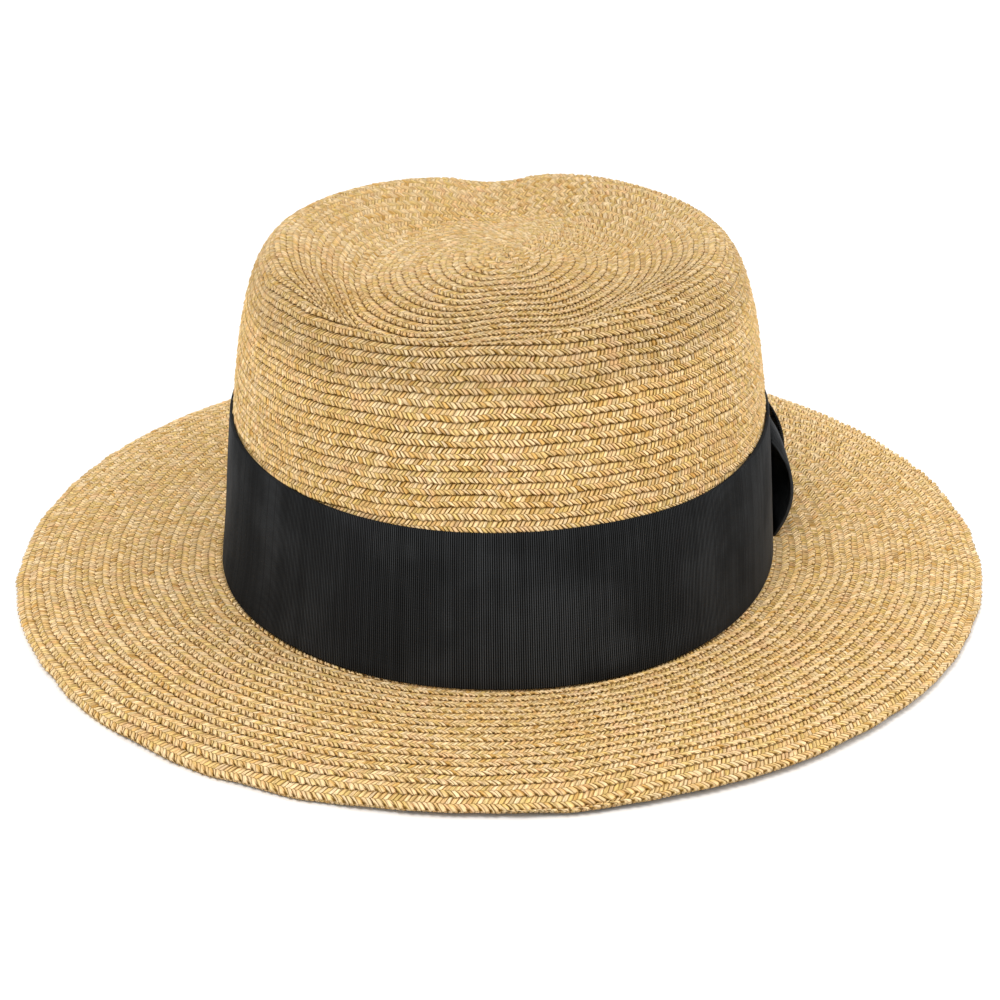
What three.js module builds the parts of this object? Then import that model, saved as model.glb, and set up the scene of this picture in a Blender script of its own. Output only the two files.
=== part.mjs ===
// A summer fedora of sewn straw braid: crown and brim in one piece, a wide ribbon band, and a flat
// ribbon bow on the wearer's left.
// Units are millimetres. +X is the wearer's left, -Y the wearer's front, +Z up. Z = 0 is the surface
// that the brim rests on, and X = Y = 0 lies in the middle of the brim.
import * as THREE from "three";

// ---------------------------------------------------------------- driving dimensions

const STRAW = { thickness: 1.8, colour: 0xd8b176, roughness: 0.75 };
const BRIM = { halfWidth: 151, halfLength: 168.5, squareness: 2.03, landWidth: 1.5 };
const CROWN = { halfWidth: 84.9, halfLength: 106.4, squareness: 2.05 };

// The braid's spiral starts as a short straight line in the middle of the crown's top.
const CENTRE = { height: 101.5, x: 4, y: 3, halfLength: 2, roundRadius: 10 };
const DENT_BLEND = 3; // how softly the dent's two sides meet at its bottom
const RIM_PULL = 8; // how close to the rim the dent's surface is drawn up to meet it

// One row for each direction round the crown, in degrees anticlockwise from the wearer's left.
//   breakZ                  height at which the crown turns into the brim
//   wallInset, wallZ        lower handle of the wall's curve
//   shoulderInset, shoulderZ  upper handle of the wall's curve
//   rimInset, rimZ          top of the rim round the dent
//   fall                    slope from the raised middle down into the dent, degrees
//   climb                   slope from the dent's bottom up to the rim, degrees
//   rimRadius               roundness of the rim's inner edge
const CROWN_COLUMNS = [
  "azimuth", "breakZ", "wallInset", "wallZ", "shoulderInset", "shoulderZ",
  "rimInset", "rimZ", "fall", "climb", "rimRadius",
];
const CROWN_ROWS = [
  [0, 6.7, 2, 58, 2.9, 104.6, 18.2, 106, 8, 22, 6],
  [45, 7, 1, 58, 5.6, 101, 22, 103.6, 8, 24, 8],
  [72, 8, 3, 52, 10, 98, 21.6, 101, 10, 26, 8],
  [90, 8, 4, 50, 12, 97, 22.6, 97.6, 11, 24, 8],
  [108, 8, 3, 52, 10, 97, 21.6, 100.2, 11, 26, 8],
  [135, 7, 1, 58, 5.1, 100.6, 20.3, 102.8, 12, 28, 8],
  [180, 7.4, 3, 58, 5.8, 103.3, 18.6, 106.7, 13, 32, 6],
  [225, 7.6, 4.8, 55, 9.9, 104, 20.4, 105.5, 11, 50, 3],
  [270, 8, 1.6, 52, 11, 103.2, 22, 106.3, 4, 45, 3],
  [315, 8.2, -1, 55, 7.7, 106, 27.5, 108, 7, 36, 5],
];

// The brim's upper surface: its height at three shares of the way from the crown to the edge.
const BRIM_COLUMNS = ["azimuth", "innerZ", "middleZ", "outerZ"];
const BRIM_SHARES = [0, 0.35, 0.7, 0.9, 1];
const BRIM_ROWS = [
  [0, 6.8, 5.6, 3.6],
  [90, 8.5, 7.5, 5.2],
  [180, 6.6, 5.4, 3.5],
  [270, 9.3, 8.3, 6.0],
];

// The edge touches the surface all round but for a low arch on the wearer's front left.
const EDGE_ARCH = { height: 1.4, azimuth: 305, halfSpan: 80 };

const RIBBON = { width: 48, thickness: 1, gap: 0.3, foot: 0.6, colour: 0x26262a, roughness: 0.8 };

// The bow on the wearer's left: one ribbon pinched in the middle under a narrow wrap. Lengths run
// along the band, half heights up and down from its middle, and rises stand off the band.
const BOW = {
  azimuth: 15, middleUp: 22, thickness: 1, gap: 0.3, pinchShare: 0.1,
  halfLength: 28, endHalfHeight: 16.2, endDroop: 5.2, pinchHalfHeight: 15, endRise: 6, pinchRise: 4.5,
};
const WRAP = { halfLength: 6, halfHeight: 18, rise: 6.8 };

// Steps round the hat, rings along one meridian, and steps of the bow's sheets.
const STEPS = {
  round: 60, dent: 13, wall: 8, brim: 8, wallLength: 200, bandUp: 5,
  bowAlong: 12, bowAcross: 10, wrapAlong: 2,
};
const RIM_CROWDING = 1.25; // how much closer the dent's rings lie near the rim
const NUDGE = 0.01; // a small step, in degrees or in share, for measuring a direction
const TURN = 360;

// ---------------------------------------------------------------- curves and tables

const degrees = THREE.MathUtils.degToRad;

/** Turn a table's rows into objects with the columns' names. */
function namedRows(columns, rows) {
  return rows.map((row) => Object.fromEntries(columns.map((name, i) => [name, row[i]])));
}

const crownRows = namedRows(CROWN_COLUMNS, CROWN_ROWS);
const brimRows = namedRows(BRIM_COLUMNS, BRIM_ROWS);

/** Cubic Hermite value at share t, from two values and two slopes already scaled to the span. */
function hermite(t, from, fromSlope, to, toSlope) {
  const t2 = t * t;
  const t3 = t2 * t;
  return (2 * t3 - 3 * t2 + 1) * from + (t3 - 2 * t2 + t) * fromSlope
    + (3 * t2 - 2 * t3) * to + (t3 - t2) * toSlope;
}

/** A table's values in the direction azimuth, joined smoothly right round the hat. */
function rowAt(rows, azimuth) {
  const count = rows.length;
  const angle = ((azimuth % TURN) + TURN) % TURN;
  let index = count - 1;
  while (rows[index].azimuth > angle) index -= 1;
  const at = (k) => rows[(k + count) % count];
  const azimuthOf = (k) => at(k).azimuth + TURN * Math.floor(k / count);
  const span = azimuthOf(index + 1) - azimuthOf(index);
  const share = (angle - azimuthOf(index)) / span;
  const result = {};
  for (const name of Object.keys(rows[0])) {
    const slope = (k) => (at(k + 1)[name] - at(k - 1)[name]) / (azimuthOf(k + 1) - azimuthOf(k - 1));
    result[name] = hermite(
      share, at(index)[name], slope(index) * span, at(index + 1)[name], slope(index + 1) * span,
    );
  }
  return result;
}

/** Point on an oval at azimuth: squareness 2 is an ellipse, and more is fuller at the corners. */
function ovalPoint(oval, azimuth) {
  const angle = degrees(azimuth);
  const x = Math.cos(angle);
  const y = Math.sin(angle);
  const n = oval.squareness;
  const reach = (Math.abs(x) ** n + Math.abs(y) ** n) ** (-1 / n);
  return new THREE.Vector2(oval.halfWidth * reach * x, oval.halfLength * reach * y);
}

/** Outward normal of that oval, seen from above. */
function ovalNormal(oval, azimuth) {
  const along = ovalPoint(oval, azimuth + NUDGE).sub(ovalPoint(oval, azimuth - NUDGE));
  return new THREE.Vector2(along.y, -along.x).normalize();
}

/** How far the brim's edge lifts off the surface. */
function edgeLift(azimuth) {
  const away = Math.abs((azimuth - EDGE_ARCH.azimuth + 1.5 * TURN) % TURN - TURN / 2);
  if (away >= EDGE_ARCH.halfSpan) return 0;
  return EDGE_ARCH.height * (0.5 + 0.5 * Math.cos((Math.PI * away) / EDGE_ARCH.halfSpan));
}

// ---------------------------------------------------------------- the hat's outer surface

/** A height that follows a slope, in degrees, but starts level with a rounded top. */
function roundedSlope(distance, slope, radius) {
  return Math.tan(degrees(slope)) * (Math.hypot(distance, radius) - radius);
}

/** The crown's top inside the rim, at share 0 (middle) to 1 (rim). */
function dentPoint(azimuth, share) {
  const row = rowAt(crownRows, azimuth);
  const rim = crownPlan(azimuth, row.rimInset);
  const along = CENTRE.halfLength * Math.sin(degrees(azimuth));
  const start = new THREE.Vector2(CENTRE.x, CENTRE.y + along);
  const reach = rim.distanceTo(start);
  const heightAt = (part) => {
    const middle = CENTRE.height - roundedSlope(part * reach, row.fall, CENTRE.roundRadius);
    const side = row.rimZ - roundedSlope((1 - part) * reach, row.climb, row.rimRadius);
    return 0.5 * (middle + side + Math.hypot(middle - side, DENT_BLEND));
  };
  const plan = start.lerp(rim, share);
  const overshoot = heightAt(1) - row.rimZ;
  return new THREE.Vector3(plan.x, plan.y, heightAt(share) - overshoot * share ** RIM_PULL);
}

/** Point above the crown's base oval, moved in from it by inset. */
function crownPlan(azimuth, inset) {
  const normal = ovalNormal(CROWN, azimuth);
  return ovalPoint(CROWN, azimuth).addScaledVector(normal, -inset);
}

/** The crown's wall, at share 0 (rim) to 1 (break). */
function wallPoint(azimuth, share) {
  const row = rowAt(crownRows, azimuth);
  const curve = new THREE.CubicBezierCurve(
    new THREE.Vector2(row.rimInset, row.rimZ),
    new THREE.Vector2(row.shoulderInset, row.shoulderZ),
    new THREE.Vector2(row.wallInset, row.wallZ),
    new THREE.Vector2(0, row.breakZ),
  );
  const point = curve.getPoint(share);
  const plan = crownPlan(azimuth, point.x);
  return new THREE.Vector3(plan.x, plan.y, point.y);
}

/** Height through the brim's named heights, without overshoot. */
function smoothHeight(shares, heights, share) {
  const slopes = heights.map((_, i) => {
    if (i === 0 || i === heights.length - 1) return null;
    const before = (heights[i] - heights[i - 1]) / (shares[i] - shares[i - 1]);
    const after = (heights[i + 1] - heights[i]) / (shares[i + 1] - shares[i]);
    return before * after <= 0 ? 0 : (2 * before * after) / (before + after);
  });
  slopes[0] = (heights[1] - heights[0]) / (shares[1] - shares[0]);
  const last = heights.length - 1;
  slopes[last] = (heights[last] - heights[last - 1]) / (shares[last] - shares[last - 1]);
  let i = 0;
  while (i < last - 1 && share > shares[i + 1]) i += 1;
  const span = shares[i + 1] - shares[i];
  return hermite(
    (share - shares[i]) / span, heights[i], slopes[i] * span, heights[i + 1], slopes[i + 1] * span,
  );
}

/** The brim's upper surface, at share 0 (break) to 1 (edge). */
function brimPoint(azimuth, share) {
  const crown = rowAt(crownRows, azimuth);
  const brim = rowAt(brimRows, azimuth);
  const lift = edgeLift(azimuth);
  const heights = [crown.breakZ, brim.innerZ, brim.middleZ, brim.outerZ, STRAW.thickness];
  const height = smoothHeight(BRIM_SHARES, heights, share) + lift * share;
  const plan = ovalPoint(CROWN, azimuth).lerp(ovalPoint(BRIM, azimuth), share);
  return new THREE.Vector3(plan.x, plan.y, height);
}

// ---------------------------------------------------------------- closed shells from rings

/** Unit normals of a grid of rings, pointing to the left of the ring's direction of travel. */
function ringNormals(rings) {
  return rings.map((ring, i) => ring.map((_, j) => {
    const count = ring.length;
    const along = ring[(j + 1) % count].clone().sub(ring[(j + count - 1) % count]);
    const inner = rings[Math.max(i - 1, 0)][j];
    const outer = rings[Math.min(i + 1, rings.length - 1)][j];
    return outer.clone().sub(inner).cross(along).normalize();
  }));
}

/** A closed mesh of rings joined in order, with the first and last either capped or joined. */
function meshOfRings(rings, { firstCap = null, lastCap = null, joinEnds = false }) {
  const count = rings[0].length;
  const points = rings.flat();
  const faces = [];
  const quad = (a, b, c, d) => faces.push(a, b, c, a, c, d);
  const bands = joinEnds ? rings.length : rings.length - 1;
  for (let i = 0; i < bands; i += 1) {
    const next = (i + 1) % rings.length;
    for (let j = 0; j < count; j += 1) {
      const k = (j + 1) % count;
      quad(i * count + j, next * count + j, next * count + k, i * count + k);
    }
  }
  const fan = (centre, ringStart, flip) => {
    const middle = points.push(centre) - 1;
    for (let j = 0; j < count; j += 1) {
      const a = ringStart + j;
      const b = ringStart + ((j + 1) % count);
      faces.push(middle, flip ? b : a, flip ? a : b);
    }
  };
  if (firstCap) fan(firstCap, 0, false);
  if (lastCap) fan(lastCap, (rings.length - 1) * count, true);
  return indexedGeometry(points, faces);
}

function indexedGeometry(points, faces) {
  const numbers = points.flatMap((point) => [point.x, point.y, point.z]);
  const geometry = new THREE.BufferGeometry();
  geometry.setAttribute("position", new THREE.Float32BufferAttribute(numbers, 3));
  geometry.setIndex(faces);
  return geometry;
}

const azimuths = Array.from({ length: STEPS.round }, (_, j) => (TURN * j) / STEPS.round);

/** One ring of points for each share, from a function of azimuth and share. */
function rings(pointAt, shares) {
  return shares.map((share) => azimuths.map((azimuth) => pointAt(azimuth, share)));
}

/** Evenly spaced shares from the first one after 0 up to 1. */
function shares(steps) {
  return Array.from({ length: steps }, (_, i) => (i + 1) / steps);
}

/** A ring on the flat underside of the brim's edge, inset from it. */
function landRing(inset) {
  return azimuths.map((azimuth) => {
    const plan = ovalPoint(BRIM, azimuth);
    plan.multiplyScalar(1 - inset / plan.length());
    return new THREE.Vector3(plan.x, plan.y, edgeLift(azimuth));
  });
}

/** Crown and brim: the outer surface, the edge's flat underside, and the inner surface. */
function strawBody() {
  const dentShares = shares(STEPS.dent).map((share) => 1 - (1 - share) ** RIM_CROWDING);
  const outer = [
    ...rings(dentPoint, dentShares),
    ...rings(wallPoint, shares(STEPS.wall)),
    ...rings(brimPoint, shares(STEPS.brim)),
  ];
  const normals = ringNormals(outer);
  const inner = outer.slice(0, -1).map((ring, i) => ring.map(
    (point, j) => point.clone().addScaledVector(normals[i][j], -STRAW.thickness),
  ));
  const middle = new THREE.Vector3(CENTRE.x, CENTRE.y, CENTRE.height);
  const below = middle.clone().setZ(CENTRE.height - STRAW.thickness);
  const land = [landRing(0), landRing(BRIM.landWidth)];
  return meshOfRings([...outer, ...land, ...inner.reverse()], { firstCap: middle, lastCap: below });
}

// ---------------------------------------------------------------- ribbon band and bow

/** Share of the wall's curve, from the break upwards, at a height measured along the wall. */
function wallShareAt(azimuth, lengthUp) {
  let previous = wallPoint(azimuth, 1);
  let length = 0;
  for (let i = 1; i <= STEPS.wallLength; i += 1) {
    const point = wallPoint(azimuth, 1 - i / STEPS.wallLength);
    const step = point.distanceTo(previous);
    if (length + step >= lengthUp) return 1 - (i - 1 + (lengthUp - length) / step) / STEPS.wallLength;
    length += step;
    previous = point;
  }
  return 0;
}

/** A point off the crown's wall: lengthUp along it from the break, and offset out from it. */
function onWall(azimuth, lengthUp, offset) {
  const share = wallShareAt(azimuth, lengthUp);
  const point = wallPoint(azimuth, share);
  const up = wallPoint(azimuth, share - NUDGE).sub(wallPoint(azimuth, share + NUDGE));
  const along = wallPoint(azimuth + NUDGE, share).sub(wallPoint(azimuth - NUDGE, share));
  return point.addScaledVector(along.cross(up).normalize(), offset);
}

/** The ribbon round the crown: a thin closed band. */
function ribbonBand() {
  const heights = [0, ...shares(STEPS.bandUp)];
  const levels = heights.map((share) => RIBBON.foot + share * (RIBBON.width - RIBBON.foot));
  const near = RIBBON.gap;
  const far = RIBBON.gap + RIBBON.thickness;
  const ring = (level, offset) => azimuths.map((azimuth) => onWall(azimuth, level, offset));
  const outside = [...levels].reverse().map((level) => ring(level, far));
  const inside = levels.map((level) => ring(level, near));
  return meshOfRings([...outside, ...inside], { joinEnds: true });
}

/** A point off the crown's wall beside the bow: lengthAlong the band from the bow's middle. */
function besideBow(lengthAlong, lengthUp, offset) {
  const middle = ovalPoint(CROWN, BOW.azimuth);
  const perDegree = middle.distanceTo(ovalPoint(CROWN, BOW.azimuth + 1));
  return onWall(BOW.azimuth + lengthAlong / perDegree, lengthUp, offset);
}

/** A thin arched sheet over the band, closed all round, from its half height, rise and droop. */
function archedSheet(halfLength, steps, halfHeightAt, riseAt, droopAt) {
  const foot = RIBBON.gap + RIBBON.thickness + BOW.gap;
  const fromEndToEnd = (count) => Array.from({ length: count + 1 }, (_, i) => (2 * i) / count - 1);
  const across = fromEndToEnd(STEPS.bowAcross);
  const arch = (along, part, extra) => {
    const share = Math.abs(along) / halfLength;
    const rise = riseAt(share) * (1 - part * part);
    const up = BOW.middleUp - droopAt(share) + part * halfHeightAt(share);
    return besideBow(along, up, foot + rise + extra);
  };
  const sections = fromEndToEnd(steps).map((lengthShare) => {
    const along = halfLength * lengthShare;
    const outside = across.map((part) => arch(along, part, BOW.thickness));
    const inside = across.map((part) => arch(along, part, 0)).reverse();
    return [...outside, ...inside];
  });
  return sheetMesh(sections, across.length);
}

/** A closed mesh of thin sections, each an outside row and then an inside row of points. */
function sheetMesh(sections, rowLength) {
  const count = sections[0].length;
  const points = sections.flat();
  const faces = [];
  const quad = (a, b, c, d) => faces.push(a, b, c, a, c, d);
  for (let i = 0; i < sections.length - 1; i += 1) {
    for (let j = 0; j < count; j += 1) {
      const k = (j + 1) % count;
      quad(i * count + j, (i + 1) * count + j, (i + 1) * count + k, i * count + k);
    }
  }
  const last = (sections.length - 1) * count;
  for (let j = 0; j < rowLength - 1; j += 1) {
    const partner = count - 1 - j;
    quad(j, j + 1, partner - 1, partner);
    quad(last + partner, last + partner - 1, last + j + 1, last + j);
  }
  return indexedGeometry(points, faces);
}

/** The bow's ribbon: full height at both free ends, which droop, and pinched in the middle. */
function bowRibbon() {
  const { lerp, smoothstep } = THREE.MathUtils;
  const halfHeightAt = (share) => {
    const spread = smoothstep(share, BOW.pinchShare, 1);
    return lerp(BOW.pinchHalfHeight, BOW.endHalfHeight, spread);
  };
  const riseAt = (share) => lerp(BOW.pinchRise, BOW.endRise, share);
  const droopAt = (share) => BOW.endDroop * share * share;
  return archedSheet(BOW.halfLength, STEPS.bowAlong, halfHeightAt, riseAt, droopAt);
}

/** The wrap that holds the bow's middle down. */
function bowWrap() {
  const always = (value) => () => value;
  const { halfLength, halfHeight, rise } = WRAP;
  return archedSheet(halfLength, STEPS.wrapAlong, always(halfHeight), always(rise), always(0));
}

// ---------------------------------------------------------------- the assembly

function piece(name, geometry, finish) {
  const material = new THREE.MeshStandardMaterial({
    color: finish.colour, roughness: finish.roughness, metalness: 0,
  });
  const mesh = new THREE.Mesh(geometry, material);
  mesh.name = name;
  return mesh;
}

const fedora = new THREE.Group();
fedora.add(piece("straw_body", strawBody(), STRAW));
fedora.add(piece("ribbon_band", ribbonBand(), RIBBON));
fedora.add(piece("bow_ribbon", bowRibbon(), RIBBON));
fedora.add(piece("bow_wrap", bowWrap(), RIBBON));

export default fedora;
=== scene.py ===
"""Looks of a summer fedora: sewn straw braid, a wide grosgrain ribbon band and a flat ribbon bow.

The braid is one long plait sewn in a spiral. Each turn lies on the turn outside it, like shingles.
The tables of the shape, the spiral, the band and the bow are in millimetres, as is every name that
ends in _MM. Settings, looks and meshes are in metres. Directions are in degrees anticlockwise from
the wearer's left, seen from above.
"""
import math

import bpy
import numpy as np
from mathutils import Matrix, Vector


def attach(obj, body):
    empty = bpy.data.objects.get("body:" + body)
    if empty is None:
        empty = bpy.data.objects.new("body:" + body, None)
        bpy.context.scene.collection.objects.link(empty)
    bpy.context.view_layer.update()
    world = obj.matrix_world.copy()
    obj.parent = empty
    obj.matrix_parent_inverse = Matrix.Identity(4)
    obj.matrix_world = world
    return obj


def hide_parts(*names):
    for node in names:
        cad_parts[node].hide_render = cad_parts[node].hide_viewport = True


bl_info = {
    "name": "Straw Fedora",
    "version": (1, 0, 0),
    "blender": (4, 5, 0),
    "location": "3D View > Sidebar > Fedora",
    "description": "Builds a sewn straw fedora with a ribbon band and bow",
    "category": "Add Mesh",
}

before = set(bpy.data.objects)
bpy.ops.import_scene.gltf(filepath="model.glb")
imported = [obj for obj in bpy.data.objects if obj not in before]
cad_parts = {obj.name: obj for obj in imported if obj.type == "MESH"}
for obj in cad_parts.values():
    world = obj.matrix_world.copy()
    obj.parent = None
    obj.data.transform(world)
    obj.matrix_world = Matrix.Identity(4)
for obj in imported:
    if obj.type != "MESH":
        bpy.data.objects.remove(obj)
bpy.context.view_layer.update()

MM = 0.001
TURN = 360.0
TINY = 0.001  # steps of a grid, to stay inside its last square

# ---------------------------------------------------------------- the hat's shape, as in the model

STRAW_THICKNESS_MM = 1.8
BRIM_OVAL = {"half_width": 151.0, "half_length": 168.5, "squareness": 2.03}
CROWN_OVAL = {"half_width": 84.9, "half_length": 106.4, "squareness": 2.05}
CENTRE = {"height": 101.5, "x": 4.0, "y": 3.0, "half_length": 2.0, "round_radius": 10.0}
DENT_BLEND_MM = 3.0
RIM_PULL = 8
CROWN_COLUMNS = (
    "azimuth", "break_z", "wall_inset", "wall_z", "shoulder_inset", "shoulder_z",
    "rim_inset", "rim_z", "fall", "climb", "rim_radius",
)
CROWN_ROWS = (
    (0, 6.7, 2, 58, 2.9, 104.6, 18.2, 106, 8, 22, 6),
    (45, 7, 1, 58, 5.6, 101, 22, 103.6, 8, 24, 8),
    (72, 8, 3, 52, 10, 98, 21.6, 101, 10, 26, 8),
    (90, 8, 4, 50, 12, 97, 22.6, 97.6, 11, 24, 8),
    (108, 8, 3, 52, 10, 97, 21.6, 100.2, 11, 26, 8),
    (135, 7, 1, 58, 5.1, 100.6, 20.3, 102.8, 12, 28, 8),
    (180, 7.4, 3, 58, 5.8, 103.3, 18.6, 106.7, 13, 32, 6),
    (225, 7.6, 4.8, 55, 9.9, 104, 20.4, 105.5, 11, 50, 3),
    (270, 8, 1.6, 52, 11, 103.2, 22, 106.3, 4, 45, 3),
    (315, 8.2, -1, 55, 7.7, 106, 27.5, 108, 7, 36, 5),
)
BRIM_COLUMNS = ("azimuth", "inner_z", "middle_z", "outer_z")
BRIM_SHARES = (0, 0.35, 0.7, 0.9, 1)
BRIM_ROWS = (
    (0, 6.8, 5.6, 3.6),
    (90, 8.5, 7.5, 5.2),
    (180, 6.6, 5.4, 3.5),
    (270, 9.3, 8.3, 6.0),
)
EDGE_ARCH = {"height": 1.4, "azimuth": 305.0, "half_span": 80.0}

# ---------------------------------------------------------------- the spiral of sewn rows

# Rows are counted outwards from the middle of the crown, and the spiral runs clockwise going out.
ROWS_TO_BREAK = 50.25
BREAK_ROWS_AT_SIDES = -0.8  # fewer rows at the sides, where the crown is shorter
ROWS_TO_EDGE = 66.25
BRAID_END = {"azimuth": 270.0, "taper": 26.0}
WALL_PITCH_COLUMNS = ("azimuth", "pitch")
WALL_PITCH_ROWS = ((0, 3.42), (90, 3.25), (180, 3.42), (270, 3.65))
SPIRAL_START = -330.0  # degrees of winding, with the first full turn starting at 0
AZIMUTH_STEP = 0.5
ROW_STEP = 0.05
ROWS_BEYOND_EDGE = 0.6
MERIDIAN_STEPS = {"dent": 90, "wall": 80, "brim": 60}
CENTRE_ROWS = 0.3  # nearer the middle than this, directions are taken from here
EDGE_STEPS = 3  # points of a line, at its end, that give the brim's own slope
MIDDLE_TURNS = 4.0  # turns at the middle of the crown that are pressed flatter
STRAND_STRAY = 0.24  # strands that a strand's ends may lie off their even places
UNDERSIDE = 2.0  # added to a point's place across the row on the underside

# One turn's top face from its inner edge, under the turn inside it, to its free outer edge.
#   across   share of the row's width
#   rise     height off the hat's surface, millimetres
#   swell    how far the strands' ridges stand up and their grooves go down, millimetres;
#            below nought where the strands lie half a strand further on
#   reach    how far the ridges push outwards, millimetres
#   lip      share of the slow bumps along the outer edge
PLAIT_TOP = (
    (-0.25, -1.00, 0.00, 0.00, 0.0),
    (0.00, -0.78, 0.08, 0.00, 0.0),
    (0.26, -0.26, 0.26, 0.00, 0.0),
    (0.52, -0.16, 0.00, 0.00, 0.1),
    (0.64, 0.03, -0.22, 0.00, 0.4),
    (0.80, 0.16, -0.28, 0.00, 0.9),
    (0.93, 0.17, -0.25, 0.10, 1.0),
    (1.00, -0.10, -0.10, 0.22, 1.0),
)
PLAIT_UNDER = (
    (0.97, -0.50, 0.00, 0.00, 0.0),
    (0.45, -0.95, 0.00, 0.00, 0.0),
    (-0.25, -1.55, 0.00, 0.00, 0.0),
)
PLAIT_MIDDLE = 0.52
UPPER_SLANT = 0.78  # strands that a strand leans back over the inner part of the row
LOWER_SLANT = 1.2
EDGE_FOOT_MM = 1.45  # how much thicker the brim's last turn is, to stand on the surface
EDGE_LIP_MM = 0.35
FOOT_BLEND = 26.0  # degrees over which the last turn thickens
STRAY_RISE = 0.35  # height that a row's edge gains, as a share of its stray
WAVER_PUSH = 2.0  # how far a waver of the rows goes, as a share of the size that is set
PLAIN_RISE_SHARE = 0.55  # share of its height that a row without strands keeps

# Each run of the spiral is one piece: its first and last row, the strands' spacing, how many
# strands share one step of its mesh, and how much of the strands' relief, of the edge bumps and of
# the step down to the next turn it has.
RUN_COLUMNS = (
    "name", "first", "last", "pitch", "strands_per_step", "relief", "bumps", "step",
)
BRAID_RUNS = (
    ("braid_crown_top", None, 21.25, 1.36, 1, 0.8, 1.1, 0.48),
    ("braid_crown_shoulder", 21.25, 29.25, 1.36, 1, 1.0, 0.4, 0.9),
    ("braid_crown_wall", 29.25, 37.25, 1.36, 1, 1.0, 0.35, 0.85),
    ("braid_under_band", 37.25, 48.25, 1.36, 4, 0.0, 0.0, 1.0),
    ("braid_brim_inner", 48.25, 55.25, 1.45, 1, 0.8, 1.1, 0.52),
    ("braid_brim_middle", 55.25, 60.25, 1.45, 1, 0.8, 1.1, 0.52),
    ("braid_brim_outer", 60.25, None, 1.45, 1, 0.8, 1.0, 0.58),
)

# Bake layout: a piece is cut into lines, one above the other, and its end caps lie beside them.
# Rings are places across a piece and up its line, from 0 to 1, over the top and back underneath.
# A wrap is the ring of a side where the piece closes.
BAKE_WIDTH = 0.99
BAKE_LINE_HEIGHT_MM = 10.0
BAKE_LINE_GAP = 0.06
BAKE_CAP_HEIGHTS = (0.25, 0.75)
BAKE_CAP_RADIUS = 0.3  # share of the strip beside the lines
BRAID_RINGS = {"top": (0, 0.62), "under": (0.66, 0.96), "wrap": {"top": 1.0}}
RIBBON_RINGS = {"top": (0, 0.48), "under": (0.52, 1.0), "wrap": {"under": 0.03}}

# ---------------------------------------------------------------- band and bow

BAND = {
    "foot": 0.6, "levels": 12, "inside_levels": 4, "edge_round": 0.25, "edge_share": 0.012,
    "measured_off": 3.0,
}
# Where the band stands off the wall at its foot, and by how much.
BAND_FLARE_COLUMNS = ("azimuth", "half_span", "out", "up")
BAND_FLARES = ((300.0, 42.0, 1.3, 14.0), (203.0, 34.0, 1.5, 17.0))
FLARE_FADE = 3  # how fast a flare dies away up the band
# Where the band's upper edge dips, and how fast the dip dies away down the band.
BAND_DIP = {"azimuth": 317.0, "half_span": 34.0, "down": 1.4, "power": 3}
BOW_PLACE = {"azimuth": 15.0, "middle_up": 22.0, "gap": 0.3}
BOW_SHAPE = {
    "half_length": 28.0, "end_half_height": 16.2, "end_droop": 5.2, "pinch_half_height": 15.0,
    "end_rise": 6.0, "pinch_rise": 4.5, "pinch_share": 0.1,
}
BOW_PLEATS = {"count": 4.0, "depth": 0.9, "from": 0.05, "reach": 0.75}
WRAP_SHAPE = {"half_length": 6.0, "half_height": 18.0, "rise": 6.8}
BOW_FLAT = (0.040, 0.058)  # width and length laid flat, metres
WRAP_FLAT = (0.012, 0.041)
ACROSS_BOW = 28  # points across the bow's ribbon, and half as many across its wrap
INSIDE_STEP = 4  # half ribs from one point of a ribbon's inside to the next
INSIDE_ACROSS_STEP = 3  # points across the outside from one point of the inside to the next
WEAVE_MM = 0.35  # from one crossing thread of the ribbon to the next

# ---------------------------------------------------------------- looks

# A smooth step is from, to, and its values there, which are 0 and 1 where they aren't given. A
# noise is its scale and its detail.
CROWN_TOP_FROM = (0.088, 0.097)
BRIM_BELOW = (0.016, 0.012)
# Where painted shade of grooves and seams fades: towards the crown top's rear and its middle.
REAR_FROM = (-0.045, 0.010)
MIDDLE_WITHIN = (0.022, 0.008)
PLAIT_STRAWS = 7.0  # strands in the plait, so every seventh is the same straw
STRAW_LASTS = 19.0  # strands of the row until new straws are laid in
# Where each straw colour lies between the least and the greatest chance.
SHADES = (
    (0.00, "rare"), (0.13, "deep"), (0.30, "main"), (0.42, "olive"), (0.60, "light"),
    (0.80, "main"), (1.00, "pink"),
)
STRAW_NOISES = {
    "batch": (1.0, 1.0), "tone": (28.0, 3.0), "rosy": (170.0, 2.0), "fibre": (1.0, 2.0),
}
STRAW_STEPS = {
    "batch": (0.3, 0.7, 0.0, 0.18),
    "tone": (0.36, 0.66),
    "rosy": (0.52, 0.72, 0.0, 0.45),
    "fibre": (0.3, 0.7, 0.64, 1.2),
    # Painted highlight: the next two make the bumps along a row's outer edge paler.
    "bead_highlight": (-0.4, 0.8),
    "bead_highlight_row": (0.55, 0.9),
    # Painted shade: the crown's top is darkened to this share.
    "painted_top_shade": (0.0, 1.0, 1.0, 0.80),
    # Painted shade down to the notch: grooves between strands, dips where strands cross, seams
    # under the row inside and notches between edge bumps. The seams are painted shade and dirt.
    "groove": (0.15, 0.46),
    "groove_depth": (0.0, 1.0, 0.62, 1.3),
    "brim_groove": (0.012, 0.016, 0.8, 1.0),
    "cross_row": (0.10, 0.0),
    "cross": (0.1, 0.45),
    "seam": (0.14, 0.02),
    "tucked": (-0.02, -0.1),
    "notch": (0.0, -0.8, 0.0, 0.95),
    "notch_row": (0.78, 0.97),
    "roughness": (0.0, 1.0, 0.50, 0.72),
}
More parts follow.
